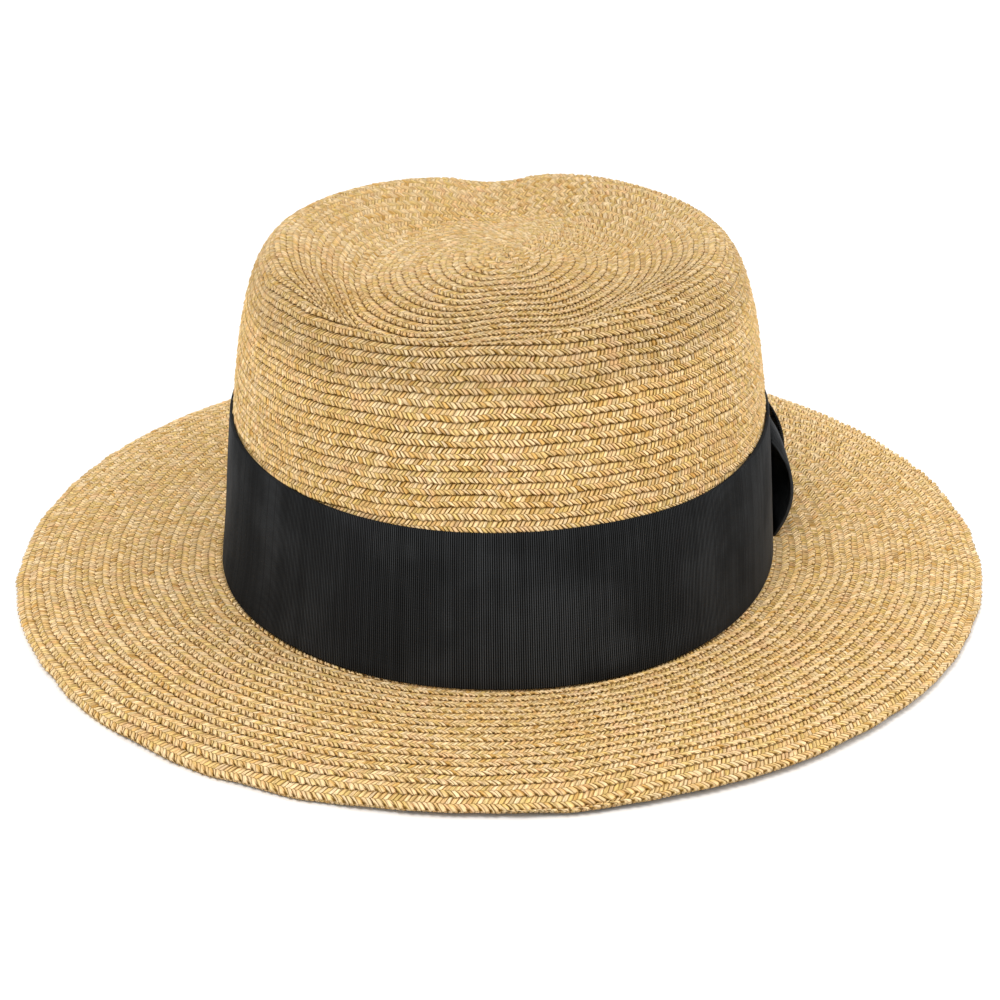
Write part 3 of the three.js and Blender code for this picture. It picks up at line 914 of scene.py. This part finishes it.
def straw_material(settings):
    """Plaited paper straw: every strand has its own colour, with painted shade in the grooves."""
    material, wires, shader = new_material("sewn_straw")
    step, amount = STRAW_STEPS, STRAW_AMOUNTS
    plait = wires.node("ShaderNodeUVMap", uv_map="plait").outputs[0]
    parts = wires.node("ShaderNodeSeparateXYZ", plait)
    strand, across = parts.outputs[0], parts.outputs[1]
    lower = wires.math("GREATER_THAN", across, PLAIT_MIDDLE, label="outer half of the row")
    under = wires.math("GREATER_THAN", across, UNDERSIDE - 0.5, label="underside")
    place = wires.total(strand, wires.product(lower, 0.5))
    number, local = wires.nearest(place)
    shades, chance = strand_shades(wires, settings, number, lower, under, strand)

    where = wires.node("ShaderNodeTexCoord").outputs["Object"]
    blotch = wires.noise(where, *STRAW_NOISES["tone"], "slow change of tone")
    tone = wires.product(ease(wires, blotch, *step["tone"]), amount["tone"])
    shades = mixed(wires, tone, shades, tuple(settings.deep_colour))
    patch = wires.noise(where, *STRAW_NOISES["rosy"], "rosy patches")
    rosy = ease(wires, patch, *step["rosy"])
    shades = mixed(wires, rosy, shades, tuple(settings.pink_colour))
    fibre_place = wires.node(
        "ShaderNodeCombineXYZ", wires.product(place, amount["fibre_along"]),
        wires.product(across, amount["fibre_across"]), number).outputs[0]
    fibre = wires.noise(fibre_place, *STRAW_NOISES["fibre"], "fibres along the strand")
    shades = dimmed(wires, shades, ease(wires, fibre, *step["fibre"]))

    laid, on_top, shade_softened, height = straw_zones(wires, where)
    row = wires.math("SUBTRACT", across, wires.product(under, UNDERSIDE))
    beat = wires.math("COSINE", wires.product(strand, math.tau / settings.bump_every))
    # Painted highlight: the bumps along a row's outer edge are paler on the brim and the crown's
    # top.
    bead_highlight = wires.product(ease(wires, beat, *step["bead_highlight"]), ease(wires, row, *step["bead_highlight_row"]),
                         laid, amount["bead_highlight"])
    shades = mixed(wires, bead_highlight, shades, tuple(settings.light_colour))
    # Painted shade: the crown's top is darker.
    shades = dimmed(wires, shades, ease(wires, on_top, *step["painted_top_shade"]))

    # Painted shade: the grooves between strands, the dips where strands cross and the notches
    # between the edge bumps are darkened; the seams under the row inside are painted shade and
    # dirt.
    draws = wires.node("ShaderNodeSeparateColor", chance.outputs["Color"])
    tight = wires.product(draws.outputs[1], amount["tight"])
    groove = wires.product(
        ease(wires, wires.math("SUBTRACT", local, tight), *step["groove"]),
        ease(wires, draws.outputs[2], *step["groove_depth"]),
        ease(wires, height, *step["brim_groove"]))
    off_middle = wires.math("ABSOLUTE", wires.math("SUBTRACT", row, PLAIT_MIDDLE))
    cross = wires.product(ease(wires, off_middle, *step["cross_row"]),
                          ease(wires, local, *step["cross"]))
    seam = ease(wires, wires.math("ABSOLUTE", row), *step["seam"])
    seam = wires.math("MAXIMUM", seam, ease(wires, row, *step["tucked"]))
    seam = wires.product(seam, wires.math("MULTIPLY_ADD", laid, amount["laid_seam"], 1.0))
    notch = wires.product(ease(wires, beat, *step["notch"]), ease(wires, row, *step["notch_row"]))
    dark = wires.math("MAXIMUM", groove, wires.product(cross, amount["cross"]))
    dark = wires.math("MAXIMUM", dark, wires.math("MAXIMUM", seam, notch))
    # The painted shade is fainter on the crown top's middle and rear.
    crisp = wires.math("SUBTRACT", 1.0, wires.product(shade_softened, amount["shade_softened"]),
                       label="less where worn smooth")
    colour = mixed(wires, wires.product(dark, crisp), shades, tuple(settings.groove_colour))
    wires.join(colour, shader.inputs["Base Color"])

    roughness = ease(wires, chance.outputs["Value"], *step["roughness"])
    wires.join(roughness, shader.inputs["Roughness"])
    shader.inputs["Specular IOR Level"].default_value = amount["specular"]
    rounded = ridge(wires, local, amount["roundness"])
    level = wires.math("MULTIPLY_ADD", fibre, amount["fibre_height"], rounded)
    level = wires.math("SUBTRACT", level, wires.product(cross, amount["cross_height"]))
    add_bump(wires, shader, level, settings.strand_bump)
    return material


def ribbon_material(settings):
    """Near-black grosgrain: painted highlights on the cords, painted shade in the grooves, and a
    faint crossing weave.
    """
    material, wires, shader = new_material("grosgrain")
    weave = wires.node("ShaderNodeUVMap", uv_map="weave").outputs[0]
    parts = wires.node("ShaderNodeSeparateXYZ", weave)
    number, local = wires.nearest(parts.outputs[0])
    chance = wires.node("ShaderNodeTexWhiteNoise", number, noise_dimensions="1D")
    where = wires.node("ShaderNodeTexCoord").outputs["Object"]
    cloud = wires.noise(where, *RIBBON_CLOUD, "rubbed and plain places")
    # Painted highlight on the ribs' tops and painted shade in the grooves, varying rib by rib and
    # in patches.
    cord = wires.product(
        ease(wires, local, *RIBBON_STEPS["cord"]),
        ease(wires, chance.outputs["Value"], *RIBBON_STEPS["own"]),
        ease(wires, cloud, *RIBBON_STEPS["rubbed"]))
    colour = mixed(wires, cord, tuple(settings.groove_colour), tuple(settings.cord_colour))
    wires.join(colour, shader.inputs["Base Color"])
    wires.join(ease(wires, cord, *RIBBON_STEPS["roughness"]), shader.inputs["Roughness"])
    shader.inputs["Specular IOR Level"].default_value = RIBBON_AMOUNTS["specular"]
    thread = wires.math("SINE", wires.product(parts.outputs[1], math.tau))
    level = wires.total(ridge(wires, local, RIBBON_AMOUNTS["roundness"]),
                        wires.product(thread, RIBBON_AMOUNTS["thread"]))
    add_bump(wires, shader, level, settings.rib_bump)
    return material


def material_named(name, build, settings):
    """The material of that name, built the first time it is asked for."""
    return bpy.data.materials.get(name) or build(settings)


# ---------------------------------------------------------------- the braid


def slant(across):
    """How many strands further back a strand lies than at the row's middle line."""
    inner = UPPER_SLANT * (PLAIT_MIDDLE - across) / PLAIT_MIDDLE
    outer = LOWER_SLANT * (across - PLAIT_MIDDLE) / (1 - PLAIT_MIDDLE)
    return np.where(across < PLAIT_MIDDLE, inner, outer)


def row_point(surface, winding, across):
    """Points of the spiral: winding in degrees, and across from 0 inside to 1 outside."""
    inner = np.maximum(winding / TURN, 0)
    outer = winding / TURN + row_width(winding)
    share = np.where(across < 0, across * np.minimum(inner, 1), across)
    return surface.at(-winding, np.maximum(inner + share * (outer - inner), 0))


def strand_count(surface):
    """Winding angles and the number of strands up to each, right along the spiral."""
    last = TURN * (ROWS_TO_EDGE - 1)
    winding = np.arange(SPIRAL_START, last + AZIMUTH_STEP, AZIMUTH_STEP)
    winding[-1] = last
    line = row_point(surface, winding, np.full(len(winding), 0.5))[0]
    steps = np.linalg.norm(np.diff(line, axis=0), axis=1)
    runs = [dict(zip(RUN_COLUMNS, run)) for run in BRAID_RUNS]
    ends = [TURN * run["last"] for run in runs[:-1]]
    middle = 0.5 * (winding[1:] + winding[:-1])
    pitch = np.array([run["pitch"] for run in runs])[np.searchsorted(ends, middle)] * MM
    return winding, np.concatenate([[0], np.cumsum(steps / pitch)])


def strand_stray(strands, across, seed):
    """How far each strand lies off its even place, in strands: its two ends stray on their own."""
    places = np.arange(int(strands.max()) + 2)
    inner, outer = (
        np.interp(strands, places, np.random.default_rng(seed + end).uniform(-1, 1, len(places)))
        for end in range(2)
    )
    share = min(max(across, 0.0), 1.0)
    return STRAND_STRAY * (inner * (1 - share) + outer * share)


def braid_side(surface, winding, count, strands, run, seed, is_top):
    """Points and fields of the braid's top or underside: a column of points for each of strands.

    On the top the strands slant and stray, and a column follows its strand. The underside is
    plain, and is thicker at the brim's edge.
    """
    last = TURN * (ROWS_TO_EDGE - 1)
    raised = PLAIN_RISE_SHARE if run["strands_per_step"] > 1 else 1.0
    lines = []
    for across, rise, swell, reach, lip in PLAIT_TOP if is_top else PLAIT_UNDER:
        lean = slant(np.array(across))
        position = strands + strand_stray(strands, across, seed) - lean if is_top else strands
        place = np.interp(position, count, winding)
        even = np.ones(len(place))
        point, normal, outward = row_point(surface, place, across * even)
        edge = smooth_share(place, last - TURN - FOOT_BLEND, last - TURN)
        if is_top:
            flatter = smooth_share(place, 0, TURN * MIDDLE_TURNS)
            height = rise * (run["step"] if rise < 0 else raised)
            down = EDGE_LIP_MM * edge * (across >= 1)
        else:
            flatter, height = 1.0, rise
            down = EDGE_FOOT_MM * edge * max(across, 0)
        lines.append({
            "point": point, "outward": normal, "sideways": outward,
            "strand": strands if is_top else strands + lean,
            "rise": height * MM * even * flatter - down * MM,
            "swell": swell * MM * even,
            "reach": reach * MM * even,
            "lip": lip * even,
            "across": (across + (0 if is_top else UNDERSIDE)) * even,
        })
    return {name: np.stack([line[name] for line in lines], 1) for name in lines[0]}


def braid_piece(surface, winding, count, run, settings):
    """One run of the spiral as a closed ribbon of plaited strands."""
    first, last = (
        open_end if row is None else round(np.interp(TURN * row, winding, count))
        for row, open_end in ((run["first"], 0), (run["last"], count[-1]))
    )
    per = run["strands_per_step"]
    fine = 2 if per == 1 else 1
    steps = int((last - first) // per)
    stops = first + per * np.arange(steps + 1)
    if run["last"] is not None:
        stops = np.linspace(first, last, steps + 1)
    halves = np.interp(np.arange(fine * steps + 1) / fine, np.arange(steps + 1), stops)
    top = braid_side(surface, winding, count, halves, run, settings.seed, True)
    under = braid_side(surface, winding, count, stops, run, settings.seed, False)
    fields = {name: np.concatenate([side[name].reshape(-1, *side[name].shape[2:])
                                    for side in (top, under)]) for name in top}
    fields["strand"] -= first
    points, across = fields.pop("point"), fields.pop("across")
    middle_line = [row[0] for row in PLAIT_TOP].index(PLAIT_MIDDLE)

    def look(numbers, places, rings):
        return fields["strand"][numbers], across[numbers]

    def groove(column, k):
        inner = (k >= 1) & (column % 2 == 1)
        return np.where(k < middle_line, inner, column % 2 == 0)

    lines = max(1, round(math.sqrt((last - first) * run["pitch"] / BAKE_LINE_HEIGHT_MM)))
    made = wrapped_ribbon(
        run["name"], points, fields, {"top": len(PLAIT_TOP), "under": len(PLAIT_UNDER)}, fine,
        steps, BRAID_RINGS, lines, ("plait", look), groove=groove if fine == 2 else None)
    return grown(made, tree_named("Plaited strands", plait_tree, settings), settings, {
        "Relief": run["relief"] * settings.relief,
        "Bump Height": settings.bump_height * run["bumps"],
        "Material": material_named("sewn_straw", straw_material, settings),
    }, fields)


# ---------------------------------------------------------------- ribbon pieces


def ribbon_sheet(name, outside, normals, inside, weave_size, settings, closed=False):
    """A thin closed ribbon from a grid of points outside and a coarser grid inside.

    outside runs along the ribbon in half ribs, and inside has every INSIDE_STEP-th of them.
    """
    columns, across = outside.shape[:2]
    inner_columns, inner_across = inside.shape[:2]
    plain = np.zeros(inner_columns * inner_across)
    fields = {
        "outward": np.concatenate([normals.reshape(-1, 3), np.zeros((len(plain), 3))]),
        "rib": np.concatenate([np.repeat(np.arange(columns) * 0.5, across), plain]),
        "swell": np.concatenate([np.ones(columns * across), plain]),
    }

    def look(numbers, places, rings):
        return places * INSIDE_STEP * 0.5, rings * weave_size

    made = wrapped_ribbon(
        name, np.concatenate([outside.reshape(-1, 3), inside.reshape(-1, 3)]), fields,
        {"top": across, "under": inner_across}, INSIDE_STEP, inner_columns - (not closed),
        RIBBON_RINGS, settings.bake_lines, ("weave", look), closed,
        lambda column, k: column % 2 == 1)
    return grown(made, tree_named("Ribbon ribs", rib_tree, settings), settings, {
        "Material": material_named("grosgrain", ribbon_material, settings),
    }, fields)


def even_azimuths(surface, up_mm, spacing_mm):
    """Directions evenly spaced round the wall at a height, and the length round it there.

    They are a whole number of ribs, with as many again inside as INSIDE_STEP asks for.
    """
    fine = np.linspace(0, TURN, int(TURN / AZIMUTH_STEP) * 4 + 1)
    line, _ = surface.on_wall(fine, np.full(len(fine), up_mm),
                              np.full(len(fine), BAND["measured_off"]))
    length = np.concatenate([[0], np.cumsum(np.linalg.norm(np.diff(line, axis=0), axis=1))])
    multiple = 2 * INSIDE_STEP
    steps = multiple * round(length[-1] / MM / spacing_mm / multiple)
    return np.interp(np.linspace(0, length[-1], steps + 1), length, fine)[:-1], length[-1]


def band_piece(surface, settings):
    """The grosgrain band round the crown, with a slight flare at its lower edge."""
    width, thickness, gap, rib = (
        size / MM for size in (settings.width, settings.thickness, settings.gap, settings.rib)
    )
    azimuth, length = even_azimuths(surface, 0.5 * width, 0.5 * rib)
    levels = np.linspace(0, 1, BAND["levels"])
    edge = BAND["edge_share"]
    levels = np.concatenate([[0.0, edge], levels[1:-1], [1 - edge, 1.0]])
    rounding = np.zeros(len(levels))
    rounding[[0, -1]] = BAND["edge_round"]
    flares = [dict(zip(BAND_FLARE_COLUMNS, row)) for row in BAND_FLARES]

    def lay(directions, shares, off):
        a = np.repeat(directions[:, None], len(shares), 1)
        up = (BAND["foot"] + shares * (width - BAND["foot"]))[None, :]
        dip = BAND_DIP["down"] * nearness(a, BAND_DIP["azimuth"], BAND_DIP["half_span"])
        up = up - dip * (up / width) ** BAND_DIP["power"]
        flare = sum(one["out"] * nearness(a, one["azimuth"], one["half_span"])
                    * np.exp(-(up / one["up"]) ** 2 * FLARE_FADE) for one in flares)
        return surface.on_wall(a, up, off + flare)

    outside, normals = lay(azimuth, levels, gap + thickness - rounding)
    inside, _ = lay(azimuth[::INSIDE_STEP], np.linspace(1, 0, BAND["inside_levels"]), gap)
    made = ribbon_sheet("ribbon_band_cloth", outside, normals, inside, width / WEAVE_MM, settings,
                        closed=True)
    return made, length


def beside_bow(surface, along_mm, up_mm, off_mm):
    """Points off the wall beside the bow, along the band from the bow's middle."""
    middle = oval_point(CROWN_OVAL, np.array(BOW_PLACE["azimuth"]))
    ahead = oval_point(CROWN_OVAL, np.array(BOW_PLACE["azimuth"] + 1))
    per_degree = float(np.linalg.norm(ahead - middle))
    return surface.on_wall(BOW_PLACE["azimuth"] + along_mm / per_degree, up_mm, off_mm)


def arched_ribbon(surface, name, half_length, half_height_at, rise_at, droop_at, pleat_at,
                  settings, ribs_upright):
    """A ribbon arched over the band, closed all round, with its ribs upright or level."""
    thickness = settings.thickness / MM
    foot = (settings.gap + settings.thickness + BOW_PLACE["gap"] * MM) / MM
    rib = settings.rib / MM
    if ribs_upright:
        columns = 2 * INSIDE_STEP * round(2 * half_length / rib / INSIDE_STEP) + 1
        along = np.linspace(-half_length, half_length, columns)
        part = np.linspace(-1, 1, ACROSS_BOW)
        along, part = np.meshgrid(along, part, indexing="ij")
    else:
        columns = 2 * INSIDE_STEP * round(2 * half_height_at(0) / rib / INSIDE_STEP) + 1
        part = np.linspace(-1, 1, columns)
        along = np.linspace(half_length, -half_length, ACROSS_BOW // 2)
        part, along = np.meshgrid(part, along, indexing="ij")

    def lay(along_mm, part_of, extra):
        share = np.abs(along_mm) / half_length
        half_height = half_height_at(share)
        rise = rise_at(share) * (1 - part_of * part_of)
        up = BOW_PLACE["middle_up"] - droop_at(share) + part_of * half_height
        off = foot + rise + extra + pleat_at(share, part_of)
        return beside_bow(surface, along_mm, up, off)

    outside, normals = lay(along, part, thickness)
    fewer = (slice(None, None, INSIDE_STEP), slice(None, None, -INSIDE_ACROSS_STEP))
    inside, _ = lay(along[fewer], part[fewer], 0.0)
    size = 2 * (half_height_at(1) if ribs_upright else half_length) / WEAVE_MM
    if np.dot(np.cross((outside[1, 1] - outside[0, 1]), (outside[0, 2] - outside[0, 1])),
              normals[0, 1]) < 0:
        raise RuntimeError(f"{name}: its faces would point inwards")
    return ribbon_sheet(name, outside, normals, inside, size, settings)


def bow_pieces(surface, settings):
    """The bow's pinched ribbon with its pleats, and the wrap that holds its middle."""
    shape = BOW_SHAPE

    def half_height(share):
        spread = smooth_share(np.asarray(share, float), shape["pinch_share"], 1)
        return shape["pinch_half_height"] + spread * (
            shape["end_half_height"] - shape["pinch_half_height"])

    def rise(share):
        return shape["pinch_rise"] + share * (shape["end_rise"] - shape["pinch_rise"])

    def pleats(share, part):
        faded = smooth_share(share, BOW_PLEATS["from"], BOW_PLEATS["reach"])
        depth = BOW_PLEATS["depth"] * (1 - faded)
        edge = 1 - part * part
        return depth * edge * 0.5 * (np.cos(BOW_PLEATS["count"] * np.pi * part) - 1)

    bow = arched_ribbon(surface, "bow_ribbon_cloth", shape["half_length"], half_height, rise,
                        lambda share: shape["end_droop"] * share * share, pleats, settings, True)
    wrap = arched_ribbon(
        surface, "bow_wrap_cloth", WRAP_SHAPE["half_length"],
        lambda share: WRAP_SHAPE["half_height"] + 0 * np.asarray(share, float),
        lambda share: WRAP_SHAPE["rise"] + 0 * share, lambda share: 0 * share,
        lambda share, part: 0 * part, settings, False,
    )
    return bow, wrap


# ---------------------------------------------------------------- settings


def colour_property(name, description, default):
    """A colour setting."""
    return bpy.props.FloatVectorProperty(
        name=name, description=description, default=default, size=4, subtype="COLOR",
        min=0.0, max=1.0)


def length_property(name, description, default):
    """A length setting, in metres."""
    return bpy.props.FloatProperty(
        name=name, description=description, default=default, min=0.0, unit="LENGTH", precision=5)


class FedoraStraw(bpy.types.PropertyGroup):
    """Sizes and colours of the plaited straw."""

    relief: bpy.props.FloatProperty(
        name="Relief", description="How strongly the strands stand up", default=1.0, min=0, max=2)
    unevenness: bpy.props.FloatProperty(
        name="Unevenness", description="Difference in height from strand to strand", default=0.55)
    bump_every: bpy.props.FloatProperty(
        name="Bump Every", description="Strands from one edge bump to the next", default=2.0)
    bump_height: length_property("Bump Height", "Height of the bumps along a row's edge", 0.0003)
    waver: length_property("Waver", "How far the rows stray from an even spiral", 0.0012)
    waver_size: length_property("Waver Size", "Length of one stray of the rows", 0.022)
    row_stray: length_property("Row Stray", "How far one row's edge strays on its own", 0.0013)
    row_stray_size: length_property("Row Stray Size", "Length of one stray of one row", 0.006)
    seed: bpy.props.IntProperty(name="Seed", description="Picks the strands' chances", default=7)
    strand_bump: length_property("Strand Bump", "Roundness of a strand's surface", 0.00022)
    # Also the colour of the painted highlight on the bumps along a row's edge.
    light_colour: colour_property("Light Straw", "The palest strands", (0.97, 0.735, 0.43, 1))
    main_colour: colour_property("Straw", "Most of the strands", (0.85, 0.565, 0.252, 1))
    deep_colour: colour_property("Deep Straw", "Darker golden strands", (0.70, 0.41, 0.115, 1))
    pink_colour: colour_property("Pink Straw", "Strands with a rosy tint", (0.88, 0.52, 0.28, 1))
    olive_colour: colour_property("Olive Straw", "Strands with a green tint", (0.76, 0.53, 0.18, 1))
    rare_colour: colour_property("Brown Straw", "The few brown strands", (0.52, 0.25, 0.065, 1))
    # Painted shade: grooves, crossings and notches are mixed towards this colour, and seams as
    # painted shade and dirt.
    groove_colour: colour_property("Grooves", "Between the strands", (0.165, 0.076, 0.003, 1))


class FedoraRibbon(bpy.types.PropertyGroup):
    """Sizes and colours of the grosgrain ribbon."""

    width: length_property("Width", "Width of the band", 0.048)
    thickness: length_property("Thickness", "Thickness of the ribbon", 0.00085)
    gap: length_property("Gap", "Between the straw and the band", 0.00045)
    rib: length_property("Rib", "From one rib to the next", 0.00067)
    rib_height: length_property("Rib Height", "Height of a rib each way", 0.00007)
    rib_bump: length_property("Rib Bump", "Roundness of a rib's surface", 0.0001)
    waver: length_property("Waver", "How far the ribbon strays from a smooth lie", 0.0004)
    waver_size: length_property("Waver Size", "Length of one stray of the ribbon", 0.03)
    bake_lines: bpy.props.IntProperty(
        name="Bake Lines", description="Lines that the ribbon is laid out in", default=3, min=1)
    # The ribs' tops carry a painted highlight, and the grooves between them painted shade.
    cord_colour: colour_property("Ribs", "The ribs' tops", (0.043, 0.0455, 0.048, 1))
    groove_colour: colour_property("Grooves", "Between the ribs", (0.002, 0.002, 0.002, 1))


class FedoraStage(bpy.types.PropertyGroup):
    """The floor, lights and camera."""

    floor_colour: colour_property("Floor", "The pale floor", (0.95, 0.95, 0.95, 1))
    floor_size: length_property("Floor Size", "Width of the floor", 40.0)
    key_power: bpy.props.FloatProperty(
        name="Key Light", description="Watts of the main soft light", default=26.0, min=0)
    fill_power: bpy.props.FloatProperty(
        name="Fill Light", description="Watts of the second soft light", default=8.5, min=0)
    sky: bpy.props.FloatProperty(
        name="Sky", description="Strength of the light from all round", default=0.88, min=0)
    camera_distance: length_property("Camera Distance", "From the hat's middle", 1.083)
    camera_tilt: bpy.props.FloatProperty(
        name="Camera Height", description="Angle above level", default=math.radians(23.85),
        subtype="ANGLE")
    camera_roll: bpy.props.FloatProperty(
        name="Camera Roll", description="Turn about the line of sight",
        default=math.radians(-0.69), subtype="ANGLE")
    focal_length: bpy.props.FloatProperty(
        name="Focal Length", description="Millimetres for a 36 mm sensor", default=123.65)


# ---------------------------------------------------------------- operators


class FEDORA_OT_straw_braid(bpy.types.Operator):
    """Lay the plaited straw spiral over the crown and brim"""

    bl_idname = "fedora.straw_braid"
    bl_label = "Straw Braid"

    def execute(self, context):
        surface = hat_surface()
        winding, count = strand_count(surface)
        for values in BRAID_RUNS:
            run = dict(zip(RUN_COLUMNS, values))
            piece = braid_piece(surface, winding, count, run, context.scene.fedora_straw)
            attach(piece, "root")
            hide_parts("straw_body")
        return {"FINISHED"}


class FEDORA_OT_ribbon_band(bpy.types.Operator):
    """Wind the grosgrain band round the crown"""

    bl_idname = "fedora.ribbon_band"
    bl_label = "Ribbon Band"

    def execute(self, context):
        settings = context.scene.fedora_ribbon
        piece, length = band_piece(hat_surface(), settings)
        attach(piece, "root")
        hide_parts("ribbon_band")
        return {"FINISHED"}


class FEDORA_OT_bow(bpy.types.Operator):
    """Shape the pleated bow and its wrap on the wearer's left"""

    bl_idname = "fedora.bow"
    bl_label = "Bow"

    def execute(self, context):
        settings = context.scene.fedora_ribbon
        bow, wrap = bow_pieces(hat_surface(), settings)
        for piece, node, flat, held in (
            (bow, "bow_ribbon", BOW_FLAT, "gathered"),
            (wrap, "bow_wrap", WRAP_FLAT, "stretched"),
        ):
            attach(piece, "root")
            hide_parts(node)
        return {"FINISHED"}


class FEDORA_OT_stage(bpy.types.Operator):
    """Set out the floor, the soft lights and the camera"""

    bl_idname = "fedora.stage"
    bl_label = "Stage"

    def execute(self, context):
        settings = context.scene.fedora_stage
        half = 0.5 * settings.floor_size
        corners = np.array([(-half, -half, 0), (half, -half, 0), (half, half, 0), (-half, half, 0)])
        floor = mesh_object("floor", corners, [np.array([[0, 1, 2, 3]])], {}, {})
        material, _, shader = new_material("pale_floor")
        shader.inputs["Base Color"].default_value = tuple(settings.floor_colour)
        shader.inputs["Roughness"].default_value = FLOOR_AMOUNTS["roughness"]
        shader.inputs["Specular IOR Level"].default_value = FLOOR_AMOUNTS["specular"]
        floor.data.materials.append(material)

        world = bpy.data.worlds.new("soft_room")
        world.use_nodes = True
        background = world.node_tree.nodes["Background"]
        background.inputs["Color"].default_value = (1, 1, 1, 1)
        background.inputs["Strength"].default_value = settings.sky
        context.scene.world = world
        context.scene.view_settings.view_transform = "Standard"

        for name, place, size, power in LIGHTS:
            data = bpy.data.lights.new(name, "AREA")
            data.shape = "DISK"
            data.size = size
            data.energy = getattr(settings, power)
            lamp = bpy.data.objects.new(name, data)
            lamp.location = place
            aim = Vector(LIGHT_TARGET) - Vector(place)
            lamp.rotation_euler = aim.to_track_quat("-Z", "Y").to_euler()
            context.collection.objects.link(lamp)

        away = Vector((0, -math.cos(settings.camera_tilt), math.sin(settings.camera_tilt)))
        data = bpy.data.cameras.new("camera")
        data.lens = settings.focal_length
        data.sensor_width = SENSOR_WIDTH_MM
        data.clip_end = CAMERA_SEES_TO
        camera = bpy.data.objects.new("camera", data)
        camera.location = Vector(CAMERA_TARGET) + away * settings.camera_distance
        turn = (-away).to_track_quat("-Z", "Y").to_matrix()
        roll = turn @ Vector((0, 0, 1))
        camera.rotation_euler = (Matrix.Rotation(settings.camera_roll, 3, roll) @ turn).to_euler()
        context.collection.objects.link(camera)
        context.scene.camera = camera
        return {"FINISHED"}


class FEDORA_PT_parts(bpy.types.Panel):
    """The fedora's pieces and their settings"""

    bl_idname = "FEDORA_PT_parts"
    bl_label = "Straw Fedora"
    bl_space_type = "VIEW_3D"
    bl_region_type = "UI"
    bl_category = "Fedora"

    def draw(self, context):
        scene = context.scene
        for settings, operators in (
            (scene.fedora_straw, ("fedora.straw_braid",)),
            (scene.fedora_ribbon, ("fedora.ribbon_band", "fedora.bow")),
            (scene.fedora_stage, ("fedora.stage",)),
        ):
            box = self.layout.box()
            for name in settings.bl_rna.properties.keys():
                if name not in ("rna_type", "name"):
                    box.prop(settings, name)
            for operator in operators:
                box.operator(operator)


CLASSES = (
    FedoraStraw, FedoraRibbon, FedoraStage,
    FEDORA_OT_straw_braid, FEDORA_OT_ribbon_band, FEDORA_OT_bow, FEDORA_OT_stage, FEDORA_PT_parts,
)


def register():
    for item in CLASSES:
        bpy.utils.register_class(item)
    bpy.types.Scene.fedora_straw = bpy.props.PointerProperty(type=FedoraStraw)
    bpy.types.Scene.fedora_ribbon = bpy.props.PointerProperty(type=FedoraRibbon)
    bpy.types.Scene.fedora_stage = bpy.props.PointerProperty(type=FedoraStage)


def unregister():
    del bpy.types.Scene.fedora_stage
    del bpy.types.Scene.fedora_ribbon
    del bpy.types.Scene.fedora_straw
    for item in reversed(CLASSES):
        bpy.utils.unregister_class(item)


def main():
    register()
    bpy.ops.fedora.straw_braid()
    bpy.ops.fedora.ribbon_band()
    bpy.ops.fedora.bow()
    bpy.ops.fedora.stage()


if __name__ == "__main__":
    main()
